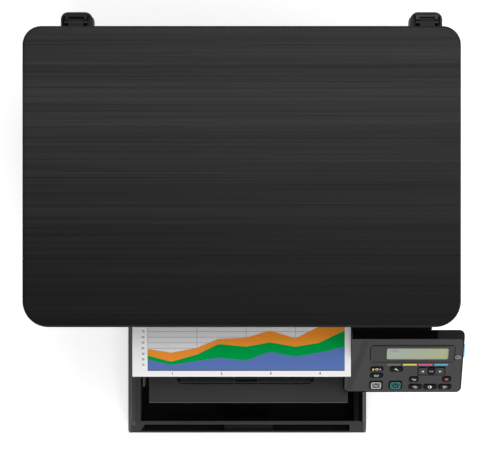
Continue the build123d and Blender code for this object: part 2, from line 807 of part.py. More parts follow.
recess_left_room, recess_right_room, recess_front_room = 28.1, 33.9, 18.9
recess_depth, recess_corner, recess_skin = 34.0, 6.0, 1.6
recess_left, recess_right = extension_left + recess_left_room, extension_right - recess_right_room
recess_front = extension_front + recess_front_room
recess_rear = recess_front + recess_depth
recess_floor = extension_bottom + recess_skin
rib_left_room, rib_right_room = 14.65, 9.65   # from the extension's middle
rib_left, rib_right = extension_x - rib_left_room, extension_x + rib_right_room
rib_width, rib_drop = 1.6, 0.4
stop_thickness = 2.6
stop_y = recess_front + 2.2
stop_bore = 4.0       # depth of the pin's bores in the ribs and the ends of the recess
stop_entry = 6.0      # and how far those at the ends run into the recess
pin_end = 3.0
stop_z = recess_floor + gap + stop_thickness / 2
stop_pin = stop_thickness / 2
stop_length = 26.0
with BuildPart() as output_extension:
    with BuildSketch(Plane.XY.offset(extension_bottom)):
        with Locations((extension_x, (extension_front + extension_rear) / 2)):
            Rectangle(extension_width, extension_rear - extension_front)
        fillet(vertices().group_by(Axis.Y)[0], extension_corner)
    extrude(amount=extension_thickness)
    front_edge = edges().filter_by(Axis.X).group_by(Axis.Z)[-1].sort_by(Axis.Y)[0]
    chamfer(front_edge, extension_corner)
    with BuildSketch(Plane.XY.offset(recess_floor)):
        with Locations(((recess_left + recess_right) / 2, (recess_front + recess_rear) / 2)):
            RectangleRounded(recess_right - recess_left, recess_rear - recess_front, recess_corner)
    extrude(amount=extension_thickness, mode=Mode.SUBTRACT)
    for rib_x in (rib_left, rib_right):
        block(
            (rib_x - rib_width / 2, rib_x + rib_width / 2),
            (recess_front, recess_rear),
            (recess_floor, extension_top - rib_drop),
        )
    for low, high in (
        (rib_left - stop_bore, rib_right + stop_bore),
        (recess_left - stop_bore, recess_left + stop_entry),
        (recess_right - stop_entry, recess_right + stop_bore),
    ):
        rod((low, high), stop_y, stop_z, stop_pin + fit, mode=Mode.SUBTRACT)
save(output_extension.part, "output_extension")

wing_margin, wing_gap = 3.0, 1.0
with BuildPart() as extension_stop:
    rod((recess_left - pin_end, recess_right + pin_end), stop_y, stop_z, stop_pin)
    for low, high in (
        (recess_left + wing_margin, rib_left - rib_width / 2 - wing_gap),
        (rib_right + rib_width / 2 + wing_gap, recess_right - wing_margin),
    ):
        block(
            (low, high),
            (stop_y, stop_y + stop_length),
            (stop_z - stop_thickness / 2, stop_z + stop_thickness / 2),
        )
save(extension_stop.part, "extension_stop")

# Paper tray: slanting walls with a ledge inside them and a grip in front

side_lean, front_lean = 5.9, 4.2   # how far the walls lean in on their way up
rim_width, ledge_width = 4.0, 5.1  # the slanting rim and the flat ledge inside it
rim_half = tray_half - side_lean
ledge_half = rim_half - rim_width
pit_half = ledge_half - ledge_width
ledge_z = tray_front_top
tray_corner = 4.0
front_wall, front_lip, front_channel = 15.6, 5.2, 6.7
hinge_cut = 6.0       # floor and walls kept clear of the hinge
tray_inner_front = tray_front + front_wall
tray_rear = tray_pivot_y + hinge_cut
ear_radius = 9.5
ear_bore = 5.0
grip_front = tray_front + front_lip
grip_rear = grip_front + front_channel
grip_x, grip_half, grip_drop = 1.6, 25.7, 2.5
grip_slot_room = 19.6
grip_slot_half = tray_half - grip_slot_room
grip_depth = 14.0
grip_mitre = 5.0
with BuildPart() as paper_tray:
    with BuildSketch(Plane.XY.offset(tray_bottom)):
        with Locations((0, (tray_front + tray_rear) / 2)):
            Rectangle(2 * tray_half, tray_rear - tray_front)
        fillet(vertices().group_by(Axis.Y)[0], tray_corner)
    extrude(amount=tray_wall_top - tray_bottom)
    # The outer faces lean in
    for side in (-1, 1):
        with BuildSketch(Plane.XZ.offset(-tray_rear)):
            with BuildLine():
                Polyline(
                    (side * tray_half, tray_bottom),
                    (side * rim_half, tray_wall_top),
                    (side * (tray_half + past), tray_wall_top),
                    (side * (tray_half + past), tray_bottom),
                    close=True,
                )
            make_face()
        extrude(amount=tray_rear - tray_front, mode=Mode.SUBTRACT)
    with BuildSketch(Plane.YZ.offset(-tray_half)):
        with BuildLine():
            Polyline(
                (tray_front, tray_bottom),
                (tray_front + front_lean, tray_wall_top),
                (tray_front - past, tray_wall_top),
                (tray_front - past, tray_bottom),
                close=True,
            )
        make_face()
    extrude(amount=2 * tray_half, mode=Mode.SUBTRACT)
    # The pit that holds the paper, open to the back
    block(
        (-pit_half, pit_half),
        (tray_inner_front, tray_rear),
        (tray_bottom + tray_floor, tray_wall_top),
        mode=Mode.SUBTRACT,
    )
    # Slanting inner faces above the ledge
    with BuildSketch(Plane.XZ.offset(-tray_rear)):
        with BuildLine():
            Polyline(
                (-ledge_half, ledge_z),
                (ledge_half, ledge_z),
                (rim_half, tray_wall_top),
                (-rim_half, tray_wall_top),
                close=True,
            )
        make_face()
    extrude(amount=tray_rear - tray_front, mode=Mode.SUBTRACT)
    # The front wall stands lower than the sides
    block(
        (-tray_half, tray_half),
        (tray_front, tray_inner_front),
        (tray_front_top, tray_wall_top),
        mode=Mode.SUBTRACT,
    )
    # Finger channel along the front wall, with the grip left standing in it
    for near, far, depth in (
        (grip_x - grip_half, -grip_slot_half, grip_depth),
        (grip_x + grip_half, grip_slot_half, grip_depth),
        (grip_x - grip_half, grip_x + grip_half, grip_drop),
    ):
        with BuildSketch(Plane.XY.offset(tray_front_top)):
            with BuildLine():
                Polyline(
                    (near, grip_front),
                    (far - grip_mitre if far < 0 else far, grip_front),
                    (far, grip_rear),
                    (near, grip_rear),
                    close=True,
                )
            make_face()
        extrude(amount=-depth, mode=Mode.SUBTRACT)
    # Hinge ears, rounded about the pin, and the floor cut back from the hinge
    block(
        (-tray_half, tray_half),
        (tray_pivot_y, tray_rear),
        (tray_bottom, tray_pivot_z),
        mode=Mode.SUBTRACT,
    )
    block(
        (-pit_half, pit_half),
        (tray_pivot_y - hinge_cut, tray_pivot_y),
        (tray_bottom, tray_pivot_z),
        mode=Mode.SUBTRACT,
    )
    for side in (-1, 1):
        rod(sorted((side * pit_half, side * tray_half)), tray_pivot_y, tray_pivot_z, ear_radius)
        rod(
            sorted((side * (tray_half - ear_bore), side * tray_half)),
            tray_pivot_y,
            tray_pivot_z,
            tray_pin + fit,
            mode=Mode.SUBTRACT,
        )
save(paper_tray.part, "paper_tray")

# Width guides, which move together, and the length guide

guide_foot = 1.2
guide_wall = 2.0
guide_height = 30.0
guide_room = 24.0
guide_length = 52.0
guide_foot_reach, guide_foot_inset = 24.0, 8.0
guide_play = 0.5      # between the page and each guide
guide_rear = body_front - guide_room
guide_base = tray_bottom + tray_floor + gap
for name, side in (("width_guide_left", -1), ("width_guide_right", 1)):
    near = page_width / 2 + guide_play
    with BuildPart() as guide:
        block(
            sorted((side * near, side * (near + guide_wall))),
            (guide_rear - guide_length, guide_rear),
            (guide_base, guide_base + guide_height),
        )
        block(
            sorted((side * (near - guide_foot_reach), side * (near + guide_wall))),
            (guide_rear - guide_length + guide_foot_inset, guide_rear - guide_foot_inset),
            (guide_base, guide_base + guide_foot),
        )
    save(guide.part, name)

length_stop_room, length_stop_depth, length_stop_width = 17.6, 17.0, 46.0
length_stop_height, length_stop_toe, length_stop_tip = 14.0, 4.0, 3.0
length_stop_front = tray_front + length_stop_room
length_stop_rear = length_stop_front + length_stop_depth
with BuildPart() as length_guide:
    with BuildSketch(Plane.YZ.offset(-length_stop_width / 2)):
        with BuildLine():
            Polyline(
                (length_stop_front, guide_base),
                (length_stop_rear, guide_base),
                (length_stop_rear, guide_base + length_stop_height),
                (length_stop_rear - length_stop_tip, guide_base + length_stop_height),
                (length_stop_front, guide_base + length_stop_toe),
                close=True,
            )
        make_face()
    extrude(amount=length_stop_width)
save(length_guide.part, "length_guide")

# Scanner base: a tray with a bezel for the glass, two arms down to the pivot and
# two pockets at the back for the lid's hinge posts

scanner_wall = 3.0
bezel_thickness = 6.0
glass_left_room, glass_front_room, glass_rear_room = 17.0, 36.0, 26.5
glass_margin = 11.3   # wider than the page is long, at each end
glass_left = scanner_left + glass_left_room
glass_right = glass_left + page_length + 2 * glass_margin
glass_front = scanner_front + glass_front_room
glass_rear = scanner_rear - glass_rear_room
glass_thickness = 3.0
glass_ledge = 5.0
rail_end_room = 17.0
left_post_inset, right_post_inset = 47.6, 28.8
post_x = (scanner_left + left_post_inset, scanner_right - right_post_inset)
pocket_width = 30.5
pocket_reach = 14.85  # how far the pockets stand out behind the lid
pocket_rear = lid_rear + pocket_reach
pocket_wall = 2.0
pocket_corner = 7.0
pocket_bottom = scanner_bottom + 6.0
post_front = lid_rear + gap
post_rear = pocket_rear - pocket_wall - gap
pocket_floor, pocket_rise = 3.0, 0.5
rail_end = glass_right + rail_end_room
arm_play = 1.8
arm_eye = 7.0         # radius of the arm's lower end
arm_front, arm_back = 10.0, 8.0
root = 1.0            # how far a piece runs into the wall that carries it


def scanner_outline(inset):
    """The plan of the scanner and lid, with wider corners at the front."""
    with Locations(((scanner_left + scanner_right) / 2, (scanner_front + scanner_rear) / 2)):
        Rectangle(
            scanner_right - scanner_left - 2 * inset,
            scanner_rear - scanner_front - 2 * inset,
        )
    fillet(vertices().group_by(Axis.Y)[-1], lid_rear_corner - lid_inset - inset)
    fillet(vertices().group_by(Axis.Y)[0], lid_front_corner - lid_inset - inset)


with BuildPart() as scanner_base:
    with BuildSketch(Plane.XY.offset(scanner_bottom)):
        scanner_outline(0)
    extrude(amount=scanner_height)
    with BuildSketch(Plane.XY.offset(scanner_bottom + scanner_wall)):
        scanner_outline(scanner_wall)
    extrude(amount=scanner_height - scanner_wall - bezel_thickness, mode=Mode.SUBTRACT)
    block(
        (glass_left + glass_ledge, glass_right - glass_ledge),
        (glass_front + glass_ledge, glass_rear - glass_ledge),
        (scanner_top - bezel_thickness, scanner_top),
        mode=Mode.SUBTRACT,
    )
    block(
        (glass_left - gap, glass_right + gap),
        (glass_front - gap, glass_rear + gap),
        (scanner_top - glass_thickness - gap, scanner_top),
        mode=Mode.SUBTRACT,
    )
    # Cross wall that carries the right end of the rail
    block(
        (rail_end, rail_end + scanner_wall),
        (scanner_front + scanner_wall, scanner_rear - scanner_wall),
        (scanner_bottom + scanner_wall, scanner_top - bezel_thickness),
    )
    for frame_face, side in ((frame_left, -1), (frame_right + frame_thickness, 1)):
        arm_low, arm_high = sorted(
            (frame_face + side * arm_play, frame_face + side * (arm_play + arm_thickness))
        )
        with BuildSketch(Plane.YZ.offset(arm_low)):
            with BuildLine():
                Polyline(
                    (pivot_y - arm_front, scanner_bottom + root),
                    (pivot_y + arm_back, scanner_bottom + root),
                    (pivot_y + arm_eye, pivot_z),
                    (pivot_y - arm_eye, pivot_z),
                    close=True,
                )
            make_face()
            with Locations((pivot_y, pivot_z)):
                Circle(arm_eye)
                Circle(pivot_radius + fit, mode=Mode.SUBTRACT)
        extrude(amount=arm_high - arm_low)
    for x in post_x:
        with BuildSketch(Plane.XY.offset(pocket_bottom)):
            with Locations((x, (scanner_rear - root + pocket_rear) / 2)):
                Rectangle(pocket_width, pocket_rear - scanner_rear + root)
            fillet(vertices().group_by(Axis.Y)[-1], pocket_corner)
        extrude(amount=scanner_top + pocket_rise - pocket_bottom)
        with BuildSketch(Plane.XY.offset(pocket_bottom + pocket_floor)):
            with Locations((x, (post_front - gap + pocket_rear - pocket_wall) / 2)):
                Rectangle(pocket_width - 2 * pocket_wall, pocket_rear - pocket_wall - post_front + gap)
            fillet(vertices().group_by(Axis.Y)[-1], pocket_corner - pocket_wall)
        extrude(amount=scanner_height, mode=Mode.SUBTRACT)
save(scanner_base.part, "scanner_base")

with BuildPart() as scanner_glass:
    block(
        (glass_left, glass_right),
        (glass_front, glass_rear),
        (scanner_top - glass_thickness - gap, scanner_top - gap),
    )
save(scanner_glass.part, "scanner_glass")

# Scan carriage on its rail, with the belt that draws it along

rail_rise = 12.0      # above the scanner's underside
rail_y, rail_z, rail_radius = (glass_front + glass_rear) / 2, scanner_bottom + rail_rise, 4.0
carriage_park = 9.0   # from the glass's left end
carriage_width, carriage_height, carriage_drop, carriage_end = 24.0, 13.0, 1.0, 2.0
carriage_left = glass_left + carriage_park
carriage_top = scanner_top - bezel_thickness - carriage_drop
carriage_bottom = carriage_top - carriage_height
saddle_overhang, saddle_half, saddle_drop = 4.0, 8.0, 7.0
light_inset, light_width, light_end, light_depth = 8.0, 8.0, 8.0, 4.0
belt_room = 28.0
belt_y = rail_y - belt_room
pulley_radius = 7.0
belt_inner = pulley_radius + gap / 2
belt_thickness = 1.2
belt_rise = 15.0      # above the scanner's underside
belt_bottom = scanner_bottom + belt_rise
belt_height = 5.0
idler_room, drive_room = 1.0, 5.0   # from the two ends of the glass
idler_x = glass_left - idler_room
drive_x = glass_right + drive_room

with BuildPart() as scan_rail:
    rod((scanner_left + scanner_wall, rail_end), rail_y, rail_z, rail_radius)
save(scan_rail.part, "scan_rail")

with BuildPart() as scan_carriage:
    block(
        (carriage_left, carriage_left + carriage_width),
        (glass_front + carriage_end, glass_rear - carriage_end),
        (carriage_bottom, carriage_top),
    )
    # Bearing saddle over the rail
    block(
        (carriage_left - saddle_overhang, carriage_left + carriage_width + saddle_overhang),
        (rail_y - saddle_half, rail_y + saddle_half),
        (rail_z - saddle_drop, carriage_bottom),
    )
    rod(
        (carriage_left - saddle_overhang, carriage_left + carriage_width + saddle_overhang),
        rail_y,
        rail_z,
        rail_radius + fit,
        mode=Mode.SUBTRACT,
    )
    # Light slot along the top of the bar
    block(
        (carriage_left + light_inset, carriage_left + light_inset + light_width),
        (glass_front + light_end, glass_rear - light_end),
        (carriage_top - light_depth, carriage_top),
        mode=Mode.SUBTRACT,
    )
save(scan_carriage.part, "scan_carriage")

with BuildPart() as scan_belt:
    with BuildSketch(Plane.XY.offset(belt_bottom)):
        with Locations(((idler_x + drive_x) / 2, belt_y)):
            SlotCenterToCenter(drive_x - idler_x, 2 * (belt_inner + belt_thickness))
            SlotCenterToCenter(drive_x - idler_x, 2 * belt_inner, mode=Mode.SUBTRACT)
    extrude(amount=belt_height)
save(scan_belt.part, "scan_belt")

spindle, spindle_end = 2.5, 1.0
motor_radius, post_radius, motor_drop = 11.0, 6.0, 1.5
for name, x in (("drive_pulley", drive_x), ("idler_pulley", idler_x)):
    with BuildPart() as pulley:
        with Locations((x, belt_y, belt_bottom + belt_height / 2)):
            Cylinder(pulley_radius, belt_height + spindle_end)
            Cylinder(spindle + fit, belt_height + spindle_end, mode=Mode.SUBTRACT)
    save(pulley.part, name)

scanner_floor = scanner_bottom + scanner_wall
upright = (Align.CENTER, Align.CENTER, Align.MIN)
with BuildPart() as scan_motor:
    # Motor under the drive pulley and a fixed post under the idler
    for x, radius in ((drive_x, motor_radius), (idler_x, post_radius)):
        with Locations((x, belt_y, scanner_floor)):
            Cylinder(radius, belt_bottom - motor_drop - scanner_floor, align=upright)
            Cylinder(spindle, belt_bottom + belt_height + spindle_end - scanner_floor, align=upright)
save(scan_motor.part, "scan_motor")

# Lid hinge posts, which slide up in their pockets. Above a shoulder each is a narrower
# fork: two cheeks that hold the lid's pin, with a bar across behind the lid's arm

lid_axis_reach, lid_axis_rise = 3.9, 7.0
lid_axis_y = lid_rear + lid_axis_reach
lid_axis_z = lid_bottom + lid_axis_rise
lid_pin = 1.9
ear_round = 3.6
lid_arm_half = 7.2
cheek = 3.2
shoulder_drop = 8.0
bar_depth, bar_rise, bar_setback = 2.0, 1.0, 0.8
post_bottom = pocket_bottom + pocket_floor + gap
shoulder_z = scanner_top - shoulder_drop
fork_rear = post_rear - bar_setback
post_half = pocket_width / 2 - pocket_wall - gap
fork_half = lid_arm_half + gap + cheek
fork_floor = lid_bottom + gap
with BuildPart() as hinge_posts:
    for x in post_x:
        with BuildSketch(Plane.XY.offset(post_bottom)):
            with Locations((x, (post_front + post_rear) / 2)):
                Rectangle(2 * post_half, post_rear - post_front)
            fillet(vertices().group_by(Axis.Y)[-1], pocket_corner - pocket_wall - gap)
        extrude(amount=shoulder_z - post_bottom)
        block((x - fork_half, x + fork_half), (post_front, fork_rear), (shoulder_z, fork_floor))
        for low, high in (
            (x - fork_half, x - fork_half + cheek),
            (x + fork_half - cheek, x + fork_half),
        ):
            with BuildSketch(Plane.YZ.offset(low)):
                with Locations((lid_axis_y, lid_axis_z)):
                    Circle(ear_round)
                with Locations((lid_axis_y, (fork_floor + lid_axis_z) / 2)):
                    Rectangle(2 * ear_round, lid_axis_z - fork_floor)
                with Locations(((lid_axis_y + fork_rear) / 2, (fork_floor + lid_axis_z + bar_rise) / 2)):
                    Rectangle(fork_rear - lid_axis_y, lid_axis_z + bar_rise - fork_floor)
                with Locations((lid_axis_y, lid_axis_z)):
                    Circle(lid_pin + fit, mode=Mode.SUBTRACT)
            extrude(amount=high - low)
        block(
            (x - fork_half, x + fork_half),
            (fork_rear - bar_depth, fork_rear),
            (fork_floor, lid_axis_z + bar_rise),
        )
save(hinge_posts.part, "hinge_posts")

# Lid: a ribbed shell with the hinge arms, and the white pad under it

pad_thickness = 4.0
pad_bottom = scanner_top + gap
lid_skin = 2.5
lid_round = 2.5
lid_rib_half = 0.8
pad_inset = 1.5
with BuildPart() as lid_cover:
    with BuildSketch(Plane.XY.offset(lid_bottom)):
        scanner_outline(-lid_inset)
    extrude(amount=lid_height)
    fillet(edges().group_by(Axis.Z)[-1], lid_round)
    with BuildSketch(Plane.XY.offset(lid_bottom)):
        scanner_outline(-lid_inset + lid_skin)
    extrude(amount=lid_height - lid_skin, mode=Mode.SUBTRACT)
    rib_z = pad_bottom + pad_thickness
    for rib in range(-2, 3):
        x = lid_x + rib * lid_width / 6
        block(
            (x - lid_rib_half, x + lid_rib_half),
            (lid_front + lid_skin, lid_rear - lid_skin),
            (rib_z, lid_top - lid_skin),
        )
    for rib in (-1, 0, 1):
        y = (lid_front + lid_rear) / 2 + rib * lid_depth / 4
        block(
            (lid_x - lid_width / 2 + lid_skin, lid_x + lid_width / 2 - lid_skin),
            (y - lid_rib_half, y + lid_rib_half),
            (rib_z, lid_top - lid_skin),
        )
    for x in post_x:
        block(
            (x - lid_arm_half, x + lid_arm_half),
            (lid_rear - root, lid_axis_y),
            (lid_axis_z - ear_round, lid_axis_z + ear_round),
        )
        rod((x - lid_arm_half, x + lid_arm_half), lid_axis_y, lid_axis_z, ear_round)
        rod((x - fork_half, x + fork_half), lid_axis_y, lid_axis_z, lid_pin)
save(lid_cover.part, "lid_cover")

with BuildPart() as lid_pad:
    with BuildSketch(Plane.XY.offset(pad_bottom)):
        scanner_outline(pad_inset)
    extrude(amount=pad_thickness)
save(lid_pad.part, "lid_pad")

# Control panel: bracket, housing, face, display and buttons

face_normal = (0, -sin(radians(panel_slope)), cos(radians(panel_slope)))
panel_x = panel_left + panel_width / 2
face_middle = Plane(origin=(panel_x, face_top_y, face_top_z), x_dir=(1, 0, 0), z_dir=face_normal)
sheet_room = 0.35     # between the sheet's edge and the panel's bracket
notch_x = sheet_right + 2 * gap
notch_y = sheet_front - 0.5
bracket_width = 78.0
bracket_left = sheet_right + sheet_room
bracket_right = bracket_left + bracket_width
bracket_plate = 3.5
hood_thickness = 3.0
hood_setback = 0.5
hood_rise = 3.6
hood_z = face_top_z + hood_rise
band_z = face_top_z + face_overrun * sin(radians(panel_slope))
bracket_ear_inset, bracket_ear_width, bracket_ear_radius = 1.5, 12.0, 4.3
bracket_ear_left = bay_half + bracket_ear_inset
bracket_ear_right = bracket_right - bracket_ear_width
ear_clearance = 0.8   # between the ears and the scanner's front
knuckle = 10.0
knuckle_radius = 4.6
knuckle_web, knuckle_rise = 6.0, 2.0
panel_pin, panel_pin_inset = 2.4, 4.0


def down_face(distance, depth):
    """A point of the side view, so far down the face and so deep under it."""
    a = radians(panel_slope)
    return (
        face_top_y - distance * cos(a) + depth * sin(a),
        face_top_z - distance * sin(a) - depth * cos(a),
    )


with BuildPart() as panel_bracket:
    block(
        (bracket_left, bracket_right),
        (scanner_front - bracket_plate, scanner_front),
        (scanner_bottom + gap, hood_z + hood_thickness),
    )
    # Hood over the gap behind the panel
    block(
        (bracket_left, bracket_right),
        (band_rear_y + hood_setback, scanner_front),
        (hood_z, hood_z + hood_thickness),
    )
    for low in (bracket_ear_left, bracket_ear_right):
        block(
            (low, low + bracket_ear_width),
            (panel_pivot_y, scanner_front - ear_clearance),
            (panel_pivot_z - bracket_ear_radius, panel_pivot_z + bracket_ear_radius),
        )
        rod((low, low + bracket_ear_width), panel_pivot_y, panel_pivot_z, bracket_ear_radius)
    rod(
        (bracket_ear_left + panel_pin_inset, bracket_right - panel_pin_inset),
        panel_pivot_y,
        panel_pivot_z,
        panel_pin,
    )
save(panel_bracket.part, "panel_bracket")

skirt = 8.0           # depth of the housing's front edge
face_rim = 1.0
switch_depth, switch_left_room, switch_right_room = 5.0, 17.0, 9.0
heel_room, heel_drop, band_edge = 5.5, 16.0, 1.0   # the housing's underside behind the face
button_play = 0.25
power_v, power_length, power_depth, power_corner = -18.6, 14.6, 5.0, 1.8
power_rise, power_reach, power_drop = 1.6, 5.0, 6.0
power_middle = down_face(-power_v, power_drop)
power_plane = Plane(
    origin=(panel_right + power_rise, power_middle[0], power_middle[1]),
    x_dir=(0, cos(radians(panel_slope)), sin(radians(panel_slope))),
    z_dir=(1, 0, 0),
)
face_run = face_overrun + face_length
face_v = (face_overrun - face_length) / 2
face_front = down_face(face_length, 0)[0]
skirt_bottom = down_face(face_length, skirt)[1]
panel_y = (band_rear_y + face_front) / 2
with BuildPart() as panel_housing:
    with BuildSketch(Plane.YZ.offset(panel_left)):
        with BuildLine():
            Polyline(
                (band_rear_y, band_z),
                down_face(-face_overrun, 0),
                down_face(face_length, 0),
                down_face(face_length, skirt),
                (panel_pivot_y - heel_room, face_top_z - heel_drop),
                (panel_pivot_y - heel_room, face_top_z - band_edge),
                (band_rear_y, face_top_z - band_edge),
                close=True,
            )
        make_face()
    extrude(amount=panel_width)
    # Rounded corners: both at the bottom and the right one of the band
    with BuildSketch(Plane.XY.offset(skirt_bottom)):
        with Locations((panel_x, panel_y)):
            Rectangle(panel_width, band_rear_y - face_front)
        fillet([v for v in vertices() if v.X > panel_x or v.Y < panel_y], panel_corner)
    extrude(amount=band_z - skirt_bottom, mode=Mode.INTERSECT)
    # Seat of the face plate, and the space under it for the switches
    with BuildSketch(face_middle):
        with Locations((0, face_v)):
            RectangleRounded(panel_width - 2 * face_rim, face_run - 2 * face_rim, panel_corner - face_rim)
    extrude(amount=-face_thickness, mode=Mode.SUBTRACT)
    with BuildSketch(face_middle.offset(-face_thickness)):
        with Locations(((switch_left_room - switch_right_room) / 2, face_v)):
            Rectangle(panel_width - switch_left_room - switch_right_room, face_run - 5 * face_rim)
    extrude(amount=-switch_depth, mode=Mode.SUBTRACT)
    # Knuckles on the hinge pin
    for low in (bracket_ear_left + bracket_ear_width + gap, bracket_ear_right - gap - knuckle):
        rod((low, low + knuckle), panel_pivot_y, panel_pivot_z, knuckle_radius)
        block(
            (low, low + knuckle),
            (panel_pivot_y - knuckle_web, panel_pivot_y),
            (panel_pivot_z - knuckle_radius, panel_pivot_z + knuckle_rise),
        )
        rod((low, low + knuckle), panel_pivot_y, panel_pivot_z, panel_pin + fit, mode=Mode.SUBTRACT)
    # Clear of the sheet at the left
    block((panel_left, notch_x), (notch_y, 0), (0, lid_top), mode=Mode.SUBTRACT)
    # Well of the power button in the right-hand side
    with BuildSketch(power_plane):
        RectangleRounded(
            power_length + 2 * button_play, power_depth + 2 * button_play, power_corner + button_play
        )
    extrude(amount=-(power_rise + power_reach), mode=Mode.SUBTRACT)
save(panel_housing.part, "panel_housing")

# Buttons: name, place on the face (from its left edge, and down from its top) and size
button_travel = 1.0
button_rise = 0.8
button_flange = 0.5
button_corner = 1.9
flange_thickness = 1.0
buttons = (
    ("supplies_button", 32.7, -37.9, 12.2, 5.6),
    ("quality_button", 32.7, -46.5, 12.2, 5.6),
    ("setup_button", 52.1, -38.0, 12.4, 6.0),
    ("left_button", 78.2, -40.7, 8.0, 8.8),
    ("ok_button", 86.9, -40.7, 6.4, 8.8),
    ("right_button", 95.6, -40.7, 8.0, 8.8),
    ("back_button", 70.0, -51.9, 8.6, 6.6),
    ("cancel_button", 102.6, -51.5, 8.0, 6.6),
    ("copies_button", 71.6, -62.0, 12.4, 6.4),
    ("contrast_button", 86.4, -62.0, 12.4, 6.4),
    ("menu_button", 101.2, -62.0, 12.4, 6.4),
    ("start_black_button", 32.6, -59.5, 12.4, 10.0),
    ("start_colour_button", 51.9, -59.5, 12.4, 10.0),
)
lcd_x, lcd_v, lcd_width, lcd_height = 72.7, -17.6, 61.7, 15.6
bezel_x, bezel_v, bezel_width, bezel_height = 67.3, -17.4, 83.0, 22.0
bezel_corner, bezel_rise = 3.5, 0.4
lcd_play, lcd_sink = 0.1, 0.4

with BuildPart() as panel_face:
    with BuildSketch(face_middle.offset(-face_thickness)):
        with Locations((0, face_v)):
            RectangleRounded(
                panel_width - 2 * face_rim - 2 * button_play,
                face_run - 2 * face_rim - 2 * button_play,
                panel_corner - face_rim - button_play,
            )
    extrude(amount=face_thickness)
    with BuildSketch(face_middle):
        with Locations((bezel_x - panel_width / 2, bezel_v)):
            RectangleRounded(bezel_width, bezel_height, bezel_corner)
    extrude(amount=bezel_rise)
    with BuildSketch(face_middle.offset(-face_thickness)):
        with Locations((lcd_x - panel_width / 2, lcd_v)):
            Rectangle(lcd_width, lcd_height)
        for name, x, v, width, height in buttons:
            with Locations((x - panel_width / 2, v)):
                RectangleRounded(
                    width + 2 * button_play, height + 2 * button_play, button_corner + button_play
                )
    extrude(amount=face_thickness + past, mode=Mode.SUBTRACT)
    block((panel_left, notch_x), (notch_y, 0), (0, lid_top), mode=Mode.SUBTRACT)
save(panel_face.part, "panel_face")

with BuildPart() as lcd_display:
    with BuildSketch(face_middle.offset(-face_thickness)):
        with Locations((lcd_x - panel_width / 2, lcd_v)):
            Rectangle(lcd_width - 2 * lcd_play, lcd_height - 2 * lcd_play)
    extrude(amount=face_thickness - lcd_sink)
save(lcd_display.part, "lcd_display")

for name, x, v, width, height in buttons:
    with BuildPart() as button:
        with BuildSketch(face_middle.offset(-face_thickness - gap)):
            with Locations((x - panel_width / 2, v)):
                RectangleRounded(width, height, button_corner)
        extrude(amount=face_thickness + gap + button_rise)
        with BuildSketch(face_middle.offset(-face_thickness - gap)):
            with Locations((x - panel_width / 2, v)):
                Rectangle(width + 2 * button_flange, height + 2 * button_flange)
        extrude(amount=-flange_thickness)
    save(button.part, name)

# Power button on the right-hand side of the panel

with BuildPart() as power_button:
    with BuildSketch(power_plane):
        RectangleRounded(power_length, power_depth, power_corner)
    extrude(amount=-(power_rise + power_reach - button_travel - gap))
save(power_button.part, "power_button")
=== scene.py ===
import math
from bisect import bisect_left

import bmesh
import bpy
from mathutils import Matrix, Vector
from mathutils.bvhtree import BVHTree


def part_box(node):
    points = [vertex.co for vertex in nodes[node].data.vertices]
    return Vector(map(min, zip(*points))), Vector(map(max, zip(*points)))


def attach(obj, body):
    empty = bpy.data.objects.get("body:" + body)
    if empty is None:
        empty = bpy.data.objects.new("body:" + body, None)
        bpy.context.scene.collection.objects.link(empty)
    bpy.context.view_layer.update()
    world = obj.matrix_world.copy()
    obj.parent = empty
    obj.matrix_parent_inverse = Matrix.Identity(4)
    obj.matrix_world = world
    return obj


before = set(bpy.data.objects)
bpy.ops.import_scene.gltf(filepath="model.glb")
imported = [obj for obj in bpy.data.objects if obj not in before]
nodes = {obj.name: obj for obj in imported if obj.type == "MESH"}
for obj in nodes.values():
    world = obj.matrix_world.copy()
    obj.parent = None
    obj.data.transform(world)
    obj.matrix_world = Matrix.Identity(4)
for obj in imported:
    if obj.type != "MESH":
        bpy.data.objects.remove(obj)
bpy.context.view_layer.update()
mm = 0.001
print("frame loaded:", len(nodes), "nodes")


def linked(name, data):
    thing = bpy.data.objects.new(name, data)
    bpy.context.scene.collection.objects.link(thing)
    return thing


# Camera: straight above the machine, as far off as the photograph's perspective says

cameraSetup = {
    "x": 2.95 * mm,
    "y": 4.95 * mm,
    "height": 2.589,
    "lens": 173.1,
    "sensor": 36,
    "sight": 20,          # metres that it sees
}


def addCamera(setup):
    data = bpy.data.cameras.new("topCamera")
    data.lens = setup["lens"]
    data.sensor_width = setup["sensor"]
    data.clip_end = setup["sight"]
    camera = linked("topCamera", data)
    camera.location = (setup["x"], setup["y"], setup["height"])
    bpy.context.scene.camera = camera


addCamera(cameraSetup)
print("camera placed")


# Node trees: a wire is one output of a tree, and arithmetic on wires adds Math nodes

class Wire:
    def __init__(self, tree, socket):
        self.tree = tree
        self.socket = socket

    def maths(self, operation, *others):
        values = dict(enumerate((self, *others)))
        return addNode(self.tree, "ShaderNodeMath", {"operation": operation}, values)

    def __add__(self, other):
        return self.maths("ADD", other)

    def __sub__(self, other):
        return self.maths("SUBTRACT", other)

    def __mul__(self, other):
        return self.maths("MULTIPLY", other)

    def __truediv__(self, other):
        return self.maths("DIVIDE", other)

    def __rsub__(self, other):
        return self.maths("MULTIPLY", -1.0).maths("ADD", other)

    def clamp(self, low, high):
        return self.maths("MAXIMUM", low).maths("MINIMUM", high)


def addNode(tree, kind, settings, values, output=0):
    node = tree.nodes.new(kind)
    for name, value in settings.items():
        if name == "stops":
            ramp = node.color_ramp
            while len(ramp.elements) > 1:
                ramp.elements.remove(ramp.elements[-1])
            ramp.elements[0].position, ramp.elements[0].color = value[0]
            for position, colour in value[1:]:
                ramp.elements.new(position).color = colour
        else:
            setattr(node, name, value)
    for key, value in values.items():
        if isinstance(value, Wire):
            tree.links.new(value.socket, node.inputs[key])
        elif value is not None:
            node.inputs[key].default_value = value
    if node.outputs:
        return Wire(tree, node.outputs[output])


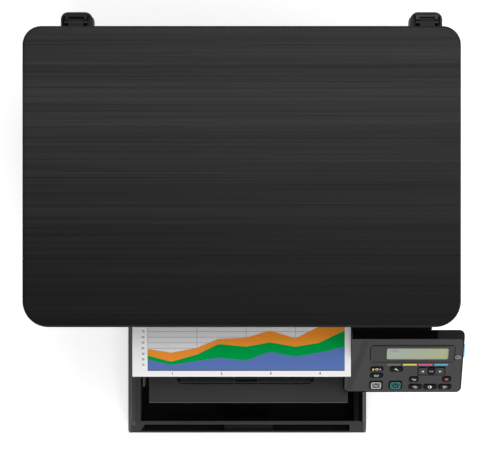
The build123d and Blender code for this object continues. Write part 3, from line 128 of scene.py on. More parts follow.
def tone(red, green, blue):
    # A colour as a picture shows it, 0 to 255, as the shader needs it
    def linear(value):
        share = value / 255
        return share / 12.92 if share <= 0.04045 else ((share + 0.055) / 1.055) ** 2.4
    return (linear(red), linear(green), linear(blue), 1.0)


def shaded(colour, factor):
    return tuple(part * factor for part in colour[:3]) + (1.0,)


def mixColours(tree, factor, first, second, blend="MIX"):
    return addNode(
        tree, "ShaderNodeMix", {"data_type": "RGBA", "blend_type": blend},
        {0: factor, 6: first, 7: second}, output=2,
    )


def startMaterial(name):
    material = bpy.data.materials.new(name)
    material.use_nodes = True
    tree = material.node_tree
    tree.nodes.clear()
    place = addNode(tree, "ShaderNodeTexCoord", {}, {}, output="Object")
    return material, tree, place


def endMaterial(material, values):
    tree = material.node_tree
    shader = addNode(tree, "ShaderNodeBsdfPrincipled", {}, values)
    addNode(tree, "ShaderNodeOutputMaterial", {}, {0: shader})
    return material


def noise(tree, place, scale, detail=2.0, roughness=0.5, stretch=None):
    if stretch:
        place = addNode(tree, "ShaderNodeMapping", {}, {"Vector": place, "Scale": stretch})
    return addNode(
        tree, "ShaderNodeTexNoise", {},
        {"Vector": place, "Scale": scale, "Detail": detail, "Roughness": roughness},
    )


def bump(tree, height, strength, distance):
    return addNode(
        tree, "ShaderNodeBump", {}, {"Strength": strength, "Distance": distance, "Height": height},
    )


def slab(tree, place, axis, low, high, soft=0.0004):
    # 1 between two limits of one axis and 0 outside them, with a soft edge
    along = addNode(tree, "ShaderNodeSeparateXYZ", {}, {0: place}, output=axis)
    rise = ((along - low * mm) / soft).clamp(0.0, 1.0)
    fall = ((high * mm - along) / soft).clamp(0.0, 1.0)
    return rise * fall


# Moulded plastic with a fine spark-eroded grain, slight unevenness of tone and gloss, and places
# given another tone, among them painted light and shade
def mouldedPlastic(name, colour, roughness=0.45, grain=0.12, grainScale=2600, unevenness=0.12,
                   specular=0.3, areas=()):
    material, tree, place = startMaterial(name)
    fine = noise(tree, place, grainScale, 3.0, 0.6)
    broad = noise(tree, place, 9, 3.0, 0.55)
    scuff = noise(tree, place, 160, 5.0, 0.65)
    shade = mixColours(tree, broad, shaded(colour, 0.94), colour)
    for limits, areaColour in areas:
        inside = 1.0
        for axis, (low, high) in enumerate(limits):
            inside = slab(tree, place, axis, low, high) * inside
        shade = mixColours(tree, inside, shade, areaColour)
    change = (broad - 0.5) * (2 * unevenness) + (scuff - 0.5) * unevenness + 1.0
    return endMaterial(material, {
        "Base Color": addNode(tree, "ShaderNodeVectorMath", {"operation": "SCALE"},
                              {0: shade, "Scale": change}),
        "Roughness": (broad - 0.5) * 0.12 + (scuff - 0.5) * 0.08 + roughness,
        "Normal": bump(tree, fine, grain, 0.00004),
        "Specular IOR Level": specular,
    })


# The lid: charcoal plastic with long streaks from left to right, painted shade that darkens it
# towards the front where it reflects less light, and a few dark lines drawn in from the left
lidStreaksAndPaintedShade = {
    "base": tone(34, 34, 35),
    "light": tone(57, 57, 58),
    "line": tone(9, 9, 9),
    "threshold": 0.4,
    "contrast": 4.1,
    "front": -92,
    "rear": 197,
    # Painted shade: the lid's brightness levels, darkest at the front
    "levels": ((0.0, 0.20), (0.3, 0.46), (0.6, 0.86), (1.0, 1.0)),     # from front to rear
    "lines": ((52.2, 0.75), (37.2, 0.5), (91, 0.2), (76, 0.2), (-3, 0.25)),     # Y, strength
    "lineWidth": 0.8,
    "fade": -5.0,         # of the lines for each metre to the right
    "fadeMiddle": 0.3,
}


def brushedPlastic(name, facts, roughness, specular):
    material, tree, place = startMaterial(name)
    wide = noise(tree, place, 1.0, 4.0, 0.6, stretch=(0.9, 46, 1.0))
    thin = noise(tree, place, 1.0, 5.0, 0.7, stretch=(1.3, 560, 1.0))
    hair = noise(tree, place, 1.0, 3.0, 0.6, stretch=(4.0, 1400, 1.0))
    streak = (wide * 0.3 + thin * 0.5 + hair * 0.2 - facts["threshold"]) * facts["contrast"]
    across = addNode(tree, "ShaderNodeSeparateXYZ", {}, {0: place}, output="X")
    along = addNode(tree, "ShaderNodeSeparateXYZ", {}, {0: place}, output="Y")
    fade = (across * facts["fade"] + facts["fadeMiddle"]).clamp(0.0, 1.0)
    drawn = 0.0
    for row, strength in facts["lines"]:
        off = (along - row * mm) * (1 / (facts["lineWidth"] * mm))
        drawn = (off * off * -1.0 + 1.0).clamp(0.0, 1.0) * fade * strength + drawn
    # Painted shade: the colour is multiplied by the levels, so the lid darkens towards its front
    front, rear = facts["front"] * mm, facts["rear"] * mm
    depth = ((along - front) / (rear - front)).clamp(0.0, 1.0)
    stops = [(share, (level, level, level, 1.0)) for share, level in facts["levels"]]
    level = addNode(tree, "ShaderNodeValToRGB", {"stops": stops}, {0: depth})
    shade = mixColours(tree, streak.clamp(0.0, 1.0), facts["base"], facts["light"])
    shade = mixColours(tree, 1.0, shade, level, "MULTIPLY")
    return endMaterial(material, {
        "Base Color": mixColours(tree, drawn.clamp(0.0, 1.0), shade, facts["line"]),
        "Roughness": (thin - 0.5) * 0.2 + roughness,
        "Normal": bump(tree, thin * 0.6 + hair * 0.4, 0.08, 0.00005),
        "Specular IOR Level": specular,
    })


def glossPlastic(name, colour, roughness=0.12, coat=0.3, specular=0.3):
    material, tree, place = startMaterial(name)
    haze = noise(tree, place, 35, 4.0, 0.6)
    ripple = noise(tree, place, 90, 2.0, 0.5)
    return endMaterial(material, {
        "Base Color": mixColours(tree, haze, colour, shaded(colour, 1.3)),
        "Roughness": haze * 0.12 + roughness,
        "Coat Weight": coat,
        "Normal": bump(tree, ripple, 0.02, 0.0002),
        "Specular IOR Level": specular,
    })


def rubberFinish(name, colour, roughness=0.75):
    material, tree, place = startMaterial(name)
    speckle = noise(tree, place, 1500, 4.0, 0.7)
    dust = noise(tree, place, 60, 4.0, 0.6)
    return endMaterial(material, {
        "Base Color": mixColours(tree, dust, colour, shaded(colour, 1.6)),
        "Roughness": (dust - 0.5) * 0.2 + roughness,
        "Normal": bump(tree, speckle, 0.25, 0.0001),
    })


def steelFinish(name, colour, roughness=0.32):
    material, tree, place = startMaterial(name)
    brushed = noise(tree, place, 1.0, 4.0, 0.6, stretch=(14, 14, 900))
    spangle = noise(tree, place, 28, 3.0, 0.5)
    return endMaterial(material, {
        "Base Color": mixColours(tree, spangle, colour, shaded(colour, 0.8)),
        "Metallic": 1.0,
        "Roughness": (brushed - 0.5) * 0.25 + roughness,
        "Normal": bump(tree, brushed, 0.08, 0.00005),
    })


def glassFinish(name, clean, smeared):
    material, tree, place = startMaterial(name)
    smear = noise(tree, place, 14, 4.0, 0.6)
    return endMaterial(material, {
        "Base Color": mixColours(tree, smear, clean, smeared),
        "Roughness": smear * 0.04 + 0.02,
        "Alpha": smear * 0.06 + 0.1,
    })


def paperFinish(name, colour):
    material, tree, place = startMaterial(name)
    fibre = noise(tree, place, 1800, 5.0, 0.7)
    cloudy = noise(tree, place, 40, 3.0, 0.5)
    return endMaterial(material, {
        "Base Color": mixColours(tree, cloudy, shaded(colour, 0.97), colour),
        "Roughness": fibre * 0.15 + 0.7,
        "Normal": bump(tree, fibre, 0.08, 0.00003),
    })


# Toner print on the page, and ink on the keys: flat colours with a little mottle
def inkFinish(name, colour, roughness=0.5, specular=0.5):
    material, tree, place = startMaterial(name)
    mottle = noise(tree, place, 500, 4.0, 0.7)
    return endMaterial(material, {
        "Base Color": mixColours(tree, mottle, shaded(colour, 0.9), colour),
        "Roughness": mottle * 0.2 + roughness,
        "Specular IOR Level": specular,
    })


# The display: a greenish film, cooler at the left end, with faint rows of segments
def displayFilm(name, left, right, startX, endX):
    material, tree, place = startMaterial(name)
    across = addNode(tree, "ShaderNodeSeparateXYZ", {}, {0: place}, output="X")
    share = ((across - startX) / (endX - startX)).clamp(0.0, 1.0)
    rows = addNode(
        tree, "ShaderNodeTexWave", {"bands_direction": "X"}, {"Vector": place, "Scale": 260.0},
    )
    film = mixColours(tree, share, left, right)
    return endMaterial(material, {
        "Base Color": mixColours(tree, rows * 0.06, film, shaded(left, 0.7)),
        "Roughness": rows * 0.04 + 0.22,
        "Coat Weight": 0.4,
    })


# Places where a moulding has another tone, as limits on X, Y and Z in millimetres. In the tray:
# the ledge at the left; the paper pit, black plastic deepened by painted shade, taking in the right
# ledge and slope, which are dark only as painted shade; painted shade in the finger channel; a
# painted highlight on the slanted band at the left; painted shade on the left and right outside and
# on the front slope
everywhere = (-1000, 1000)
trayTonesAndPaintedLight = [
    (((-117.7, -112.4), (-199.9, 0), (40, 50.2)), tone(66, 66, 67)),
    (((-112.7, 121.9), (-200.1, 0), (8, 57.5)), tone(15, 15, 15)),
    (((-109.5, 108.3), (-210.6, -203.5), (20, 49.9)), tone(24, 24, 24)),
    (((-122.3, -117.8), (-205, 0), (48, 60)), tone(88, 88, 89)),
    (((-200, -122.4), everywhere, everywhere), tone(10, 10, 11)),
    (((122.4, 200), everywhere, everywhere), tone(14, 14, 15)),
    ((everywhere, (-230, -211.6), (0, 49.5)), tone(24, 24, 25)),
]
# The hood's right end: a painted reflection, lighter where the glossy black catches the light
hoodPaintedReflection = [
    (((187, 230), everywhere, everywhere), tone(34, 34, 35)),
]
# The stop's middle square with painted shadow lines for the gaps beside it, and its catch
wingTonesAndShadowLines = [
    (((-13.6, 13.6), everywhere, everywhere), tone(6, 6, 6)),
    (((-12.2, 12.2), everywhere, everywhere), tone(42, 42, 43)),
    (((-10.9, 10.9), everywhere, everywhere), tone(6, 6, 6)),
    (((-9.4, 9.4), (-149.9, 0), everywhere), tone(38, 38, 39)),
    (((-2.7, 2.7), (-149.9, -148.6), everywhere), tone(14, 14, 15)),
]
# The extension's front rim: a painted highlight, lighter where the edge catches the light
extensionRimHighlight = [
    ((everywhere, (-175, -170.9), everywhere), tone(84, 84, 86)),
]
finishes = {
    "lid": brushedPlastic("lidCharcoal", lidStreaksAndPaintedShade, 0.4, 0.1),
    "case": mouldedPlastic("caseBlack", tone(33, 33, 34), 0.48, specular=0.25),
    "hood": mouldedPlastic("hoodBlack", tone(4, 4, 4), 0.4, grain=0.05, specular=0.03,
                           areas=hoodPaintedReflection),
    "gloss": glossPlastic("glossBlack", tone(7, 7, 8), 0.2, coat=0.06, specular=0.2),
    "tray": mouldedPlastic("trayGrey", tone(68, 68, 69), 0.42, grainScale=2000, specular=0.1,
                           areas=trayTonesAndPaintedLight),
    "extension": mouldedPlastic("extensionGrey", tone(40, 39, 40), 0.45, areas=extensionRimHighlight),
    "panel": mouldedPlastic("panelGrey", tone(59, 59, 59), 0.4, grainScale=3200, unevenness=0.05),
    "panelDark": mouldedPlastic("panelStripe", tone(49, 49, 50), 0.4, grainScale=3200,
                                unevenness=0.05),
    "bezel": mouldedPlastic("bezelBrownBlack", tone(62, 60, 60), 0.32, grain=0.03,
                            unevenness=0.05),
    "seam": mouldedPlastic("seamBlack", tone(26, 26, 27), 0.5, grain=0.03, specular=0.1),
    "well": mouldedPlastic("wellBlack", tone(6, 6, 6), 0.5, grain=0.03, specular=0.05),
    "key": glossPlastic("keyBlack", tone(12, 12, 13), 0.25, coat=0.05, specular=0.2),
    "inner": mouldedPlastic("innerGrey", tone(84, 84, 88), 0.5),
    "innerDark": mouldedPlastic("innerBlack", tone(14, 14, 15), 0.5, specular=0.15),
    "wing": mouldedPlastic("wingBlack", tone(24, 24, 25), 0.4, grain=0.05, specular=0.2,
                           areas=wingTonesAndShadowLines),
    "tab": mouldedPlastic("tabGrey", tone(38, 38, 39), 0.4, grain=0.05, specular=0.2),
    "rubber": rubberFinish("footRubber", tone(30, 30, 31)),
    "roller": rubberFinish("rollerRubber", tone(70, 72, 78), 0.6),
    "fuser": glossPlastic("fuserSleeve", tone(118, 62, 38), 0.3, coat=0.1),
    "steel": steelFinish("bracketSteel", (0.55, 0.56, 0.58, 1.0)),
    "screw": steelFinish("screwSteel", (0.16, 0.16, 0.17, 1.0), 0.38),
    "gilt": steelFinish("contactGilt", (0.83, 0.62, 0.24, 1.0), 0.25),
    "shaft": steelFinish("shaftSteel", (0.62, 0.62, 0.63, 1.0), 0.22),
    "glass": glassFinish("platenGlass", (0.30, 0.40, 0.38, 1.0), (0.36, 0.45, 0.43, 1.0)),
    "pad": mouldedPlastic("padWhite", tone(236, 236, 232), 0.6, unevenness=0.02),
    "page": paperFinish("pageWhite", tone(240, 240, 241)),
    "drum": glossPlastic("drumGreen", tone(52, 128, 116), 0.15, coat=0.5),
    "belt": rubberFinish("beltBlack", tone(28, 28, 28)),
    "power": glossPlastic("powerBlue", tone(150, 208, 238), 0.2, coat=0.3),
    "lcdInk": inkFinish("displayInk", tone(124, 118, 134)),
    "displayEdge": inkFinish("displayEdge", tone(182, 184, 140), 0.3),
    "greyInk": inkFinish("inkGrey", tone(98, 98, 99)),
    "chartOrange": inkFinish("tonerOrange", tone(238, 142, 24), specular=0.35),
    "chartGreen": inkFinish("tonerGreen", tone(0, 158, 72), specular=0.0),
    "chartBlue": inkFinish("tonerBlue", tone(74, 108, 178)),
    "chartGrey": inkFinish("tonerPaleGrey", tone(222, 222, 224)),
    "chartLine": inkFinish("tonerLine", tone(128, 128, 132)),
    "chartText": inkFinish("tonerText", tone(24, 24, 26)),
}
inkTones = {
    "white": (226, 226, 226), "pale": (196, 196, 196), "orange": (222, 118, 60),
    "teal": (44, 132, 138), "yellow": (222, 200, 76), "magenta": (208, 80, 130),
    "cyan": (84, 164, 212), "red": (214, 70, 66),
}
for ink, shade in inkTones.items():
    finishes[ink] = inkFinish("ink" + ink.capitalize(), tone(*shade))
tonerTones = {
    "black": (36, 36, 38), "cyan": (28, 120, 170),
    "magenta": (168, 40, 92), "yellow": (214, 178, 40),
}
print("materials made:", len(finishes))


# Finishes of the carried-over nodes

faceLow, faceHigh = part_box("lcd_display")
finishes["display"] = displayFilm(
    "displayFilm", tone(160, 171, 160), tone(164, 170, 132), faceLow.x, faceHigh.x,
)
nodeFinish = {
    "lid": ["lid_cover"],
    "case": ["left_cover", "right_cover", "rear_cover", "rear_door", "base_frame", "scanner_base"],
    "hood": ["panel_housing"],
    "well": ["panel_bracket"],
    "gloss": ["hinge_posts", "power_inlet"],
    "innerDark": ["extension_guide", "length_guide", "output_bin"],
    "wing": ["extension_stop"],
    "tray": ["paper_tray"],
    "extension": ["output_extension"],
    "panel": ["panel_face", "left_button", "right_button"],
    "inner": [
        "front_door", "carousel_frame", "fuser_housing", "scan_carriage", "drive_pulley",
        "idler_pulley", "width_guide_left", "width_guide_right",
    ],
    "rubber": ["feet"],
    "roller": ["pickup_roller", "exit_roller", "exit_pinch_roller", "pressure_roller"],
    "fuser": ["fuser_roller"],
    "steel": ["side_frames", "rear_ports", "scan_motor"],
    "shaft": ["scan_rail"],
    "glass": ["scanner_glass"],
    "pad": ["lid_pad"],
    "page": ["printed_sheet"],
    "drum": ["imaging_drum"],
    "belt": ["scan_belt"],
    "display": ["lcd_display"],
    "power": ["power_button"],
    "key": [
        name for name in nodes
        if name.endswith("_button")
        and name not in ("power_button", "left_button", "right_button")
    ],
}


def paint(node, material):
    slots = nodes[node].data.materials
    slots.clear()
    slots.append(material)


for finish, members in nodeFinish.items():
    for member in members:
        paint(member, finishes[finish])
for colour, shade in tonerTones.items():
    paint("toner_" + colour, mouldedPlastic("toner" + colour.capitalize(), tone(*shade), 0.4))
unpainted = [name for name, node in nodes.items() if not node.data.materials]
print("carried-over nodes painted; left:", unpainted)


# Meshes from prisms: each prism is a flat outline between two heights, set on the machine by
# its placing function

def placeMesh(name, vertices, faces, finish, body):
    mesh = bpy.data.meshes.new(name)
    mesh.from_pydata([tuple(v) for v in vertices], [], faces)
    work = bmesh.new()
    work.from_mesh(mesh)
    bmesh.ops.recalc_face_normals(work, faces=work.faces)
    work.to_mesh(mesh)
    work.free()
    mesh.materials.append(finishes[finish])
    piece = linked(name, mesh)
    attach(piece, body)


def addPrism(vertices, faces, outline, place, low, high):
    first, count = len(vertices), len(outline)
    vertices += [place(x, y, low) for x, y in outline]
    vertices += [place(x, y, high) for x, y in outline]
    faces.append(tuple(first + i for i in reversed(range(count))))
    faces.append(tuple(first + count + i for i in range(count)))
    for i in range(count):
        j = (i + 1) % count
        faces.append((first + i, first + j, first + count + j, first + count + i))


def prisms(name, outlines, place, low, high, finish, body):
    vertices, faces = [], []
    for outline in outlines:
        addPrism(vertices, faces, outline, place, low, high)
    placeMesh(name, vertices, faces, finish, body)


# Flat outlines, in millimetres

def oblong(width, height, x=0.0, y=0.0):
    return [(x - width / 2, y - height / 2), (x + width / 2, y - height / 2),
            (x + width / 2, y + height / 2), (x - width / 2, y + height / 2)]


def arc(radiusX, radiusY, start, end, steps, x=0.0, y=0.0):
    # start and end are parts of a full turn
    angles = [2 * math.pi * (start + (end - start) * i / steps) for i in range(steps + 1)]
    return [(x + radiusX * math.cos(angle), y + radiusY * math.sin(angle)) for angle in angles]


def disc(radius, steps=24):
    return arc(radius, radius, 0, 1, steps)[:-1]


def strip(inner, outer):
    # Four-sided parts between two lines of points
    return [[a, b, d, c] for a, b, c, d in zip(inner, inner[1:], outer, outer[1:])]


def bar(start, end, width):
    dx, dy = end[0] - start[0], end[1] - start[1]
    length = math.hypot(dx, dy)
    nx, ny = -dy / length * width / 2, dx / length * width / 2
    return [(start[0] + nx, start[1] + ny), (start[0] - nx, start[1] - ny),
            (end[0] - nx, end[1] - ny), (end[0] + nx, end[1] + ny)]


def ring(radiusX, radiusY, width, start=0.0, end=1.0, x=0.0, y=0.0):
    return strip(*(arc(radiusX + grow, radiusY + grow, start, end, 20, x, y)
                   for grow in (-width / 2, width / 2)))


def roundedOblong(width, height, radius, x=0.0, y=0.0, grow=0.0):
    points, full = [], radius + grow
    for turn, (sx, sy) in enumerate(((1, 1), (-1, 1), (-1, -1), (1, -1))):
        points += arc(full, full, turn / 4, (turn + 1) / 4, 5,
                      x + sx * (width / 2 - radius), y + sy * (height / 2 - radius))
    return points


def frameOutline(width, height, line, radius, x=0.0, y=0.0):
    # A rounded frame as a strip of four-sided parts
    inner = roundedOblong(width, height, radius, x, y, -line / 2)
    outer = roundedOblong(width, height, radius, x, y, line / 2)
    return strip(inner + inner[:1], outer + outer[:1])


def moved(outline, dx, dy):
    return [(x + dx, y + dy) for x, y in outline]


def turned(outline, degrees, x=0.0, y=0.0):
    c, s = math.cos(math.radians(degrees)), math.sin(math.radians(degrees))
    offsets = moved(outline, -x, -y)
    return [(x + dx * c - dy * s, y + dx * s + dy * c) for dx, dy in offsets]


def baked(thing):
    # The mesh that an object shows once its modifiers have run
    bpy.context.view_layer.update()
    shown = thing.evaluated_get(bpy.context.evaluated_depsgraph_get())
    return bpy.data.meshes.new_from_object(shown)


def textOutlines(words, height, bold=0.0):
    # The letters as a list of three-sided outlines, centred, in millimetres
    curve = bpy.data.curves.new("lettering", "FONT")
    curve.body = words
    curve.align_x = "CENTER"
    curve.align_y = "CENTER"
    curve.size = height
    curve.resolution_u = 2
    curve.offset = bold
    holder = linked("lettering", curve)
    mesh = baked(holder)
    mesh.calc_loop_triangles()
    points = [tuple(vertex.co[:2]) for vertex in mesh.vertices]
    triangles = [[points[i] for i in triangle.vertices] for triangle in mesh.loop_triangles]
    bpy.data.objects.remove(holder)
    bpy.data.curves.remove(curve)
    bpy.data.meshes.remove(mesh)
    return triangles


# The printed page: a stacked area chart laid on the sheet's curved top

pageChart = {
    "left": -98.1,
    "right": 96.4,
    "front": -137.7,      # baseline, as a Y place on the sheet
    "step": 5.5,          # along the sheet, for ten units
    "levels": 16,
    "marks": 4,
    "line": 0.35,
    "axis": (-0.35, 0.3),
    "columns": 96,        # pieces of each coloured area, across and along
    "rows": 14,
    "strips": 48,         # pieces of a long line that follows the bend
    "lift": 0.03,         # of the pale ground from the sheet
    "gridLift": 0.03,     # of the rest from the pale ground's lower side
    "areaLift": 0.06,
    "axisLift": 0.1,
    "ink": 0.02,
    "textInk": 0.03,
    "sideText": (2.85, 0.03, -4.6),     # height, boldness, distance from the edge
    "baseText": (3.6, 0.09, -2.9),
}
# Share of the width, then the baseline and the tops of the three areas in steps of ten
chartData = [
    (0.00, 0, 2.0, 2.7, 3.9),
    (0.12, 0, 1.0, 1.6, 3.2),
    (0.25, 0, 1.7, 2.9, 4.1),
    (0.36, 0, 2.3, 4.8, 5.7),
    (0.50, 0, 1.8, 4.3, 5.9),
    (0.62, 0, 3.4, 5.1, 7.2),
    (0.75, 0, 2.5, 4.3, 5.8),
    (0.87, 0, 3.2, 5.0, 7.9),
    (1.00, 0, 4.3, 7.2, 9.6),
]


def hitFromAbove(node, places):
    # Where rays straight down through places (x, y), in metres, meet a node
    mesh = nodes[node].data
    faces = [list(polygon.vertices) for polygon in mesh.polygons]
    tree = BVHTree.FromPolygons([vertex.co for vertex in mesh.vertices], faces)
    hits = [tree.ray_cast(Vector((x, y, 1.0)), Vector((0, 0, -1)))[0] for x, y in places]
    return [hit for hit in hits if hit]


def sheetTop(count=240, inset=0.4 * mm):
    # Points (y, z) along the middle of the sheet's upper side, from front to back
    low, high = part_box("printed_sheet")
    x, run = (low.x + high.x) / 2, high.y - low.y - 2 * inset
    places = [(x, low.y + inset + run * i / count) for i in range(count + 1)]
    return [(hit.y / mm, hit.z / mm) for hit in hitFromAbove("printed_sheet", places)]


sheetPoints = sheetTop()


def sheetWay():
    # Length along the sheet from the chart's baseline for each point
    way, total = [], 0.0
    for i, (y, z) in enumerate(sheetPoints):
        if i:
            total += math.hypot(y - sheetPoints[i - 1][0], z - sheetPoints[i - 1][1])
        way.append(total)
    base = next(w for (y, z), w in zip(sheetPoints, way) if y >= pageChart["front"])
    return [w - base for w in way]


sheetLengths = sheetWay()


def onSheet(x, v, lift):
    # x across and v along the sheet from the baseline, in millimetres
    i = min(max(bisect_left(sheetLengths, v), 1), len(sheetLengths) - 1)
    a, b = sheetLengths[i - 1], sheetLengths[i]
    share = (v - a) / (b - a)
    (y0, z0), (y1, z1) = sheetPoints[i - 1], sheetPoints[i]
    y, z = y0 + (y1 - y0) * share, z0 + (z1 - z0) * share
    run = math.hypot(y1 - y0, z1 - z0)
    ny, nz = -(z1 - z0) / run, (y1 - y0) / run
    return (x * mm, (y + ny * lift) * mm, (z + nz * lift) * mm)


def chartBand(name, lowRow, highRow, finish, lift):
    # One coloured area, cut into short steps along the sheet so that it follows the bend
    vertices, faces = [], []
    columns, rows = pageChart["columns"], pageChart["rows"]

    def level(share, row):
        a, b = next(pair for pair in zip(chartData, chartData[1:]) if share <= pair[1][0])
        return a[row] + (b[row] - a[row]) * (share - a[0]) / (b[0] - a[0])

    width = pageChart["right"] - pageChart["left"]
    for side in (0.0, pageChart["ink"]):
        for i in range(columns + 1):
            share = i / columns
            low = level(share, lowRow) * pageChart["step"]
            high = level(share, highRow) * pageChart["step"]
            for j in range(rows + 1):
                v = low + (high - low) * j / rows
                vertices.append(onSheet(pageChart["left"] + width * share, v, lift + side))
    layer, tall = (columns + 1) * (rows + 1), rows + 1
    for i in range(columns):
        for j in range(rows):
            a = i * tall + j
            quad = (a, a + tall, a + tall + 1, a + 1)
            faces.append(tuple(reversed(quad)))
            faces.append(tuple(q + layer for q in quad))
    edge = [i * tall for i in range(columns + 1)]
    edge += [columns * tall + j for j in range(1, rows + 1)]
    edge += [i * tall + rows for i in range(columns - 1, -1, -1)]
    edge += [j for j in range(rows - 1, 0, -1)]
    for a, b in zip(edge, edge[1:] + edge[:1]):
        faces.append((a, b, b + layer, a + layer))
    placeMesh(name, vertices, faces, finish, "sheet")


def sheetStrip(x0, x1, v0, v1, steps=1):
    # A long strip as short four-sided parts, so that it follows the sheet
    parts = []
    for i in range(steps):
        a, b = v0 + (v1 - v0) * i / steps, v0 + (v1 - v0) * (i + 1) / steps
        parts.append([(x0, a), (x1, a), (x1, b), (x0, b)])
    return parts


def sheetInk(name, outlines, lift, ink, finish):
    prisms(name, outlines, onSheet, lift, lift + ink, finish, "sheet")


def buildChart():
    left, right, step = pageChart["left"], pageChart["right"], pageChart["step"]
    top, marks = pageChart["levels"] * step, pageChart["marks"]
    line, lift, ink = pageChart["line"], pageChart["lift"], pageChart["ink"]
    strips = pageChart["strips"]
    sheetInk("chartGround", sheetStrip(left, right, 0, top, strips), lift, ink, "chartGrey")
    lines = []
    for i in range(pageChart["levels"] + 1):
        lines += sheetStrip(left, right, i * step - line / 2, i * step + line / 2)
    for i in range(marks + 1):
        x = left + (right - left) * i / marks
        lines += sheetStrip(x - line / 2, x + line / 2, 0, top, strips)
    sheetInk("chartGrid", lines, lift + pageChart["gridLift"], ink, "chartLine")
    for row, colour in enumerate(("Blue", "Green", "Orange"), 1):
        chartBand("chart" + colour + "Area", row, row + 1, "chart" + colour,
                  lift + pageChart["areaLift"])
    axis = sheetStrip(left, right, *pageChart["axis"], strips)
    sheetInk("chartAxis", axis, lift + pageChart["axisLift"], ink, "chartText")
    letters = []
    height, bold, aside = pageChart["sideText"]
    for i in range(1, pageChart["levels"] + 1):
        for part in textOutlines(str(i * 10), height, bold):
            letters.append(moved(part, left + aside, i * step))
    height, bold, below = pageChart["baseText"]
    for i in range(marks):
        x = left + (right - left) * (i + 0.5) / marks
        for part in textOutlines(str(i + 1), height, bold):
            letters.append(moved(part, x, below))
    sheetInk("chartNumbers", letters, lift, pageChart["textInk"], "chartText")


buildChart()
print("page printed")


# Control panel: the face is a sloping plane, and each key carries its own mark

panelFace = {
    "topY": -106.7,
    "topZ": 230.0,
    "slope": 40.0,
    "keyRise": 0.8,
    "inkDepth": 0.06,
    "bite": 0.01,         # how far ink reaches into what it is printed on
}
slopeCos = math.cos(math.radians(panelFace["slope"]))
slopeSin = math.sin(math.radians(panelFace["slope"]))


def onFace(x, v, lift):
    # x across the machine and v up the slope from the face's top edge, in millimetres
    y = panelFace["topY"] + v * slopeCos - lift * slopeSin
    z = panelFace["topZ"] + v * slopeSin + lift * slopeCos
    return (x * mm, y * mm, z * mm)


def keyCentre(name):
    low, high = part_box(name)
    middle = (low + high) / 2 / mm
    v = (middle.y - panelFace["topY"]) * slopeCos + (middle.z - panelFace["topZ"]) * slopeSin
    return middle.x, v


def arrowHead(x, y, size, degrees):
    back = x - size * 0.8
    return turned([(x + size, y), (back, y + size), (back, y - size)], degrees, x, y)


def scaled(outlines, factor):
    return [[(x * factor, y * factor) for x, y in outline] for outline in outlines]


startMark = [
    *frameOutline(9.1, 8.0, 0.8, 1.4, 0, -0.6),
    *frameOutline(2.3, 3.4, 0.45, 0.4, -2.2, -1.3),
    *frameOutline(2.3, 3.4, 0.45, 0.4, 2.2, -1.3),
    bar((-3.2, 2.0), (-1.0, 2.0), 0.7), bar((1.0, 2.0), (3.2, 2.0), 0.7),
    bar((-0.8, 0.2), (0.6, -1.6), 0.55), arrowHead(0.6, -1.7, 0.7, -50),
]
rounds = disc(1.7)
halfDisc = [(0, -1.7), *rounds[19:], *rounds[:6], (0, 1.7)]
# For each key its marks: ink, scale and outlines
keyMarks = {
    "supplies_button": [
        ("yellow", 1.0, [oblong(1.5, 2.2, -3.6, -0.5), oblong(0.9, 0.7, -3.6, 1.0)]),
        ("white", 0.85, [
            *ring(1.5, 1.3, 0.5, 0.05, 0.45), *ring(1.5, 1.3, 0.5, 0.55, 0.95),
            arrowHead(-1.5, -0.2, 0.7, 250), arrowHead(1.5, 0.2, 0.7, 70),
        ]),
        ("red", 1.0, [oblong(1.6, 1.2, 3.4, 0.7)]),
        ("cyan", 1.0, [oblong(1.6, 1.1, 3.4, -0.6)]),
    ],
    "quality_button": [("pale", 0.8, [
        *frameOutline(2.2, 3.0, 0.4, 0.4, -1.5),
        bar((-2.0, 0.5), (-0.9, 0.5), 0.35), bar((-2.0, -0.5), (-0.9, -0.5), 0.35),
        bar((0.8, 1.2), (0.8, -1.0), 0.45), arrowHead(0.8, -1.2, 0.7, 270),
        bar((2.2, -1.2), (2.2, 1.0), 0.45), arrowHead(2.2, 1.2, 0.7, 90),
    ])],
    "setup_button": [("white", 0.72, [
        bar((-0.6, 0.5), (2.4, -2.0), 1.0), *ring(1.1, 1.1, 0.9, 0.52, 1.22, -1.4, 1.1),
    ])],
    "left_button": [("white", 1.0, [arrowHead(0, 0, 1.25, 180)])],
    "right_button": [("white", 1.0, [arrowHead(0, 0, 1.25, 0)])],
    "ok_button": [("pale", 1.0, textOutlines("OK", 3.0))],
    "back_button": [("pale", 0.85, [
        *ring(1.7, 1.2, 0.6, 0.75, 1.25, 0.6, -0.4), bar((0.6, 0.8), (-1.2, 0.8), 0.6),
        arrowHead(-1.6, 0.8, 1.0, 180), bar((0.6, -1.6), (-0.8, -1.6), 0.6),
    ])],
    "cancel_button": [("orange", 1.0, [
        bar((-1.4, -1.2), (1.4, 1.2), 0.75), bar((-1.4, 1.2), (1.4, -1.2), 0.75),
    ])],
    "copies_button": [("pale", 0.85, [
        *frameOutline(2.8, 2.4, 0.5, 0.5, -0.8, 0.5), *frameOutline(2.8, 2.4, 0.5, 0.5, 0.9, -0.7),
    ])],
    "contrast_button": [("white", 0.88, [*ring(1.9, 1.9, 0.45), halfDisc])],
    "menu_button": [("pale", 0.85, [
        *[bar((-2.2, y), (1.0, y), 0.7) for y in (1.5, 0, -1.5)], arrowHead(2.2, 0, 0.9, 0),
    ])],
    "start_black_button": [("pale", 1.0, startMark)],
    "start_colour_button": [("teal", 1.0, startMark)],
}


def markKeys():
    low = panelFace["keyRise"] - panelFace["bite"]
    high = panelFace["keyRise"] + panelFace["inkDepth"]
    for key, marks in keyMarks.items():
        x, v = keyCentre(key)
        for ink, scale, outlines in marks:
            mark = [moved(outline, x, v) for outline in scaled(outlines, scale)]
            name = key.replace("_button", "Mark") + ink.capitalize()
            prisms(name, mark, onFace, low, high, ink, key)


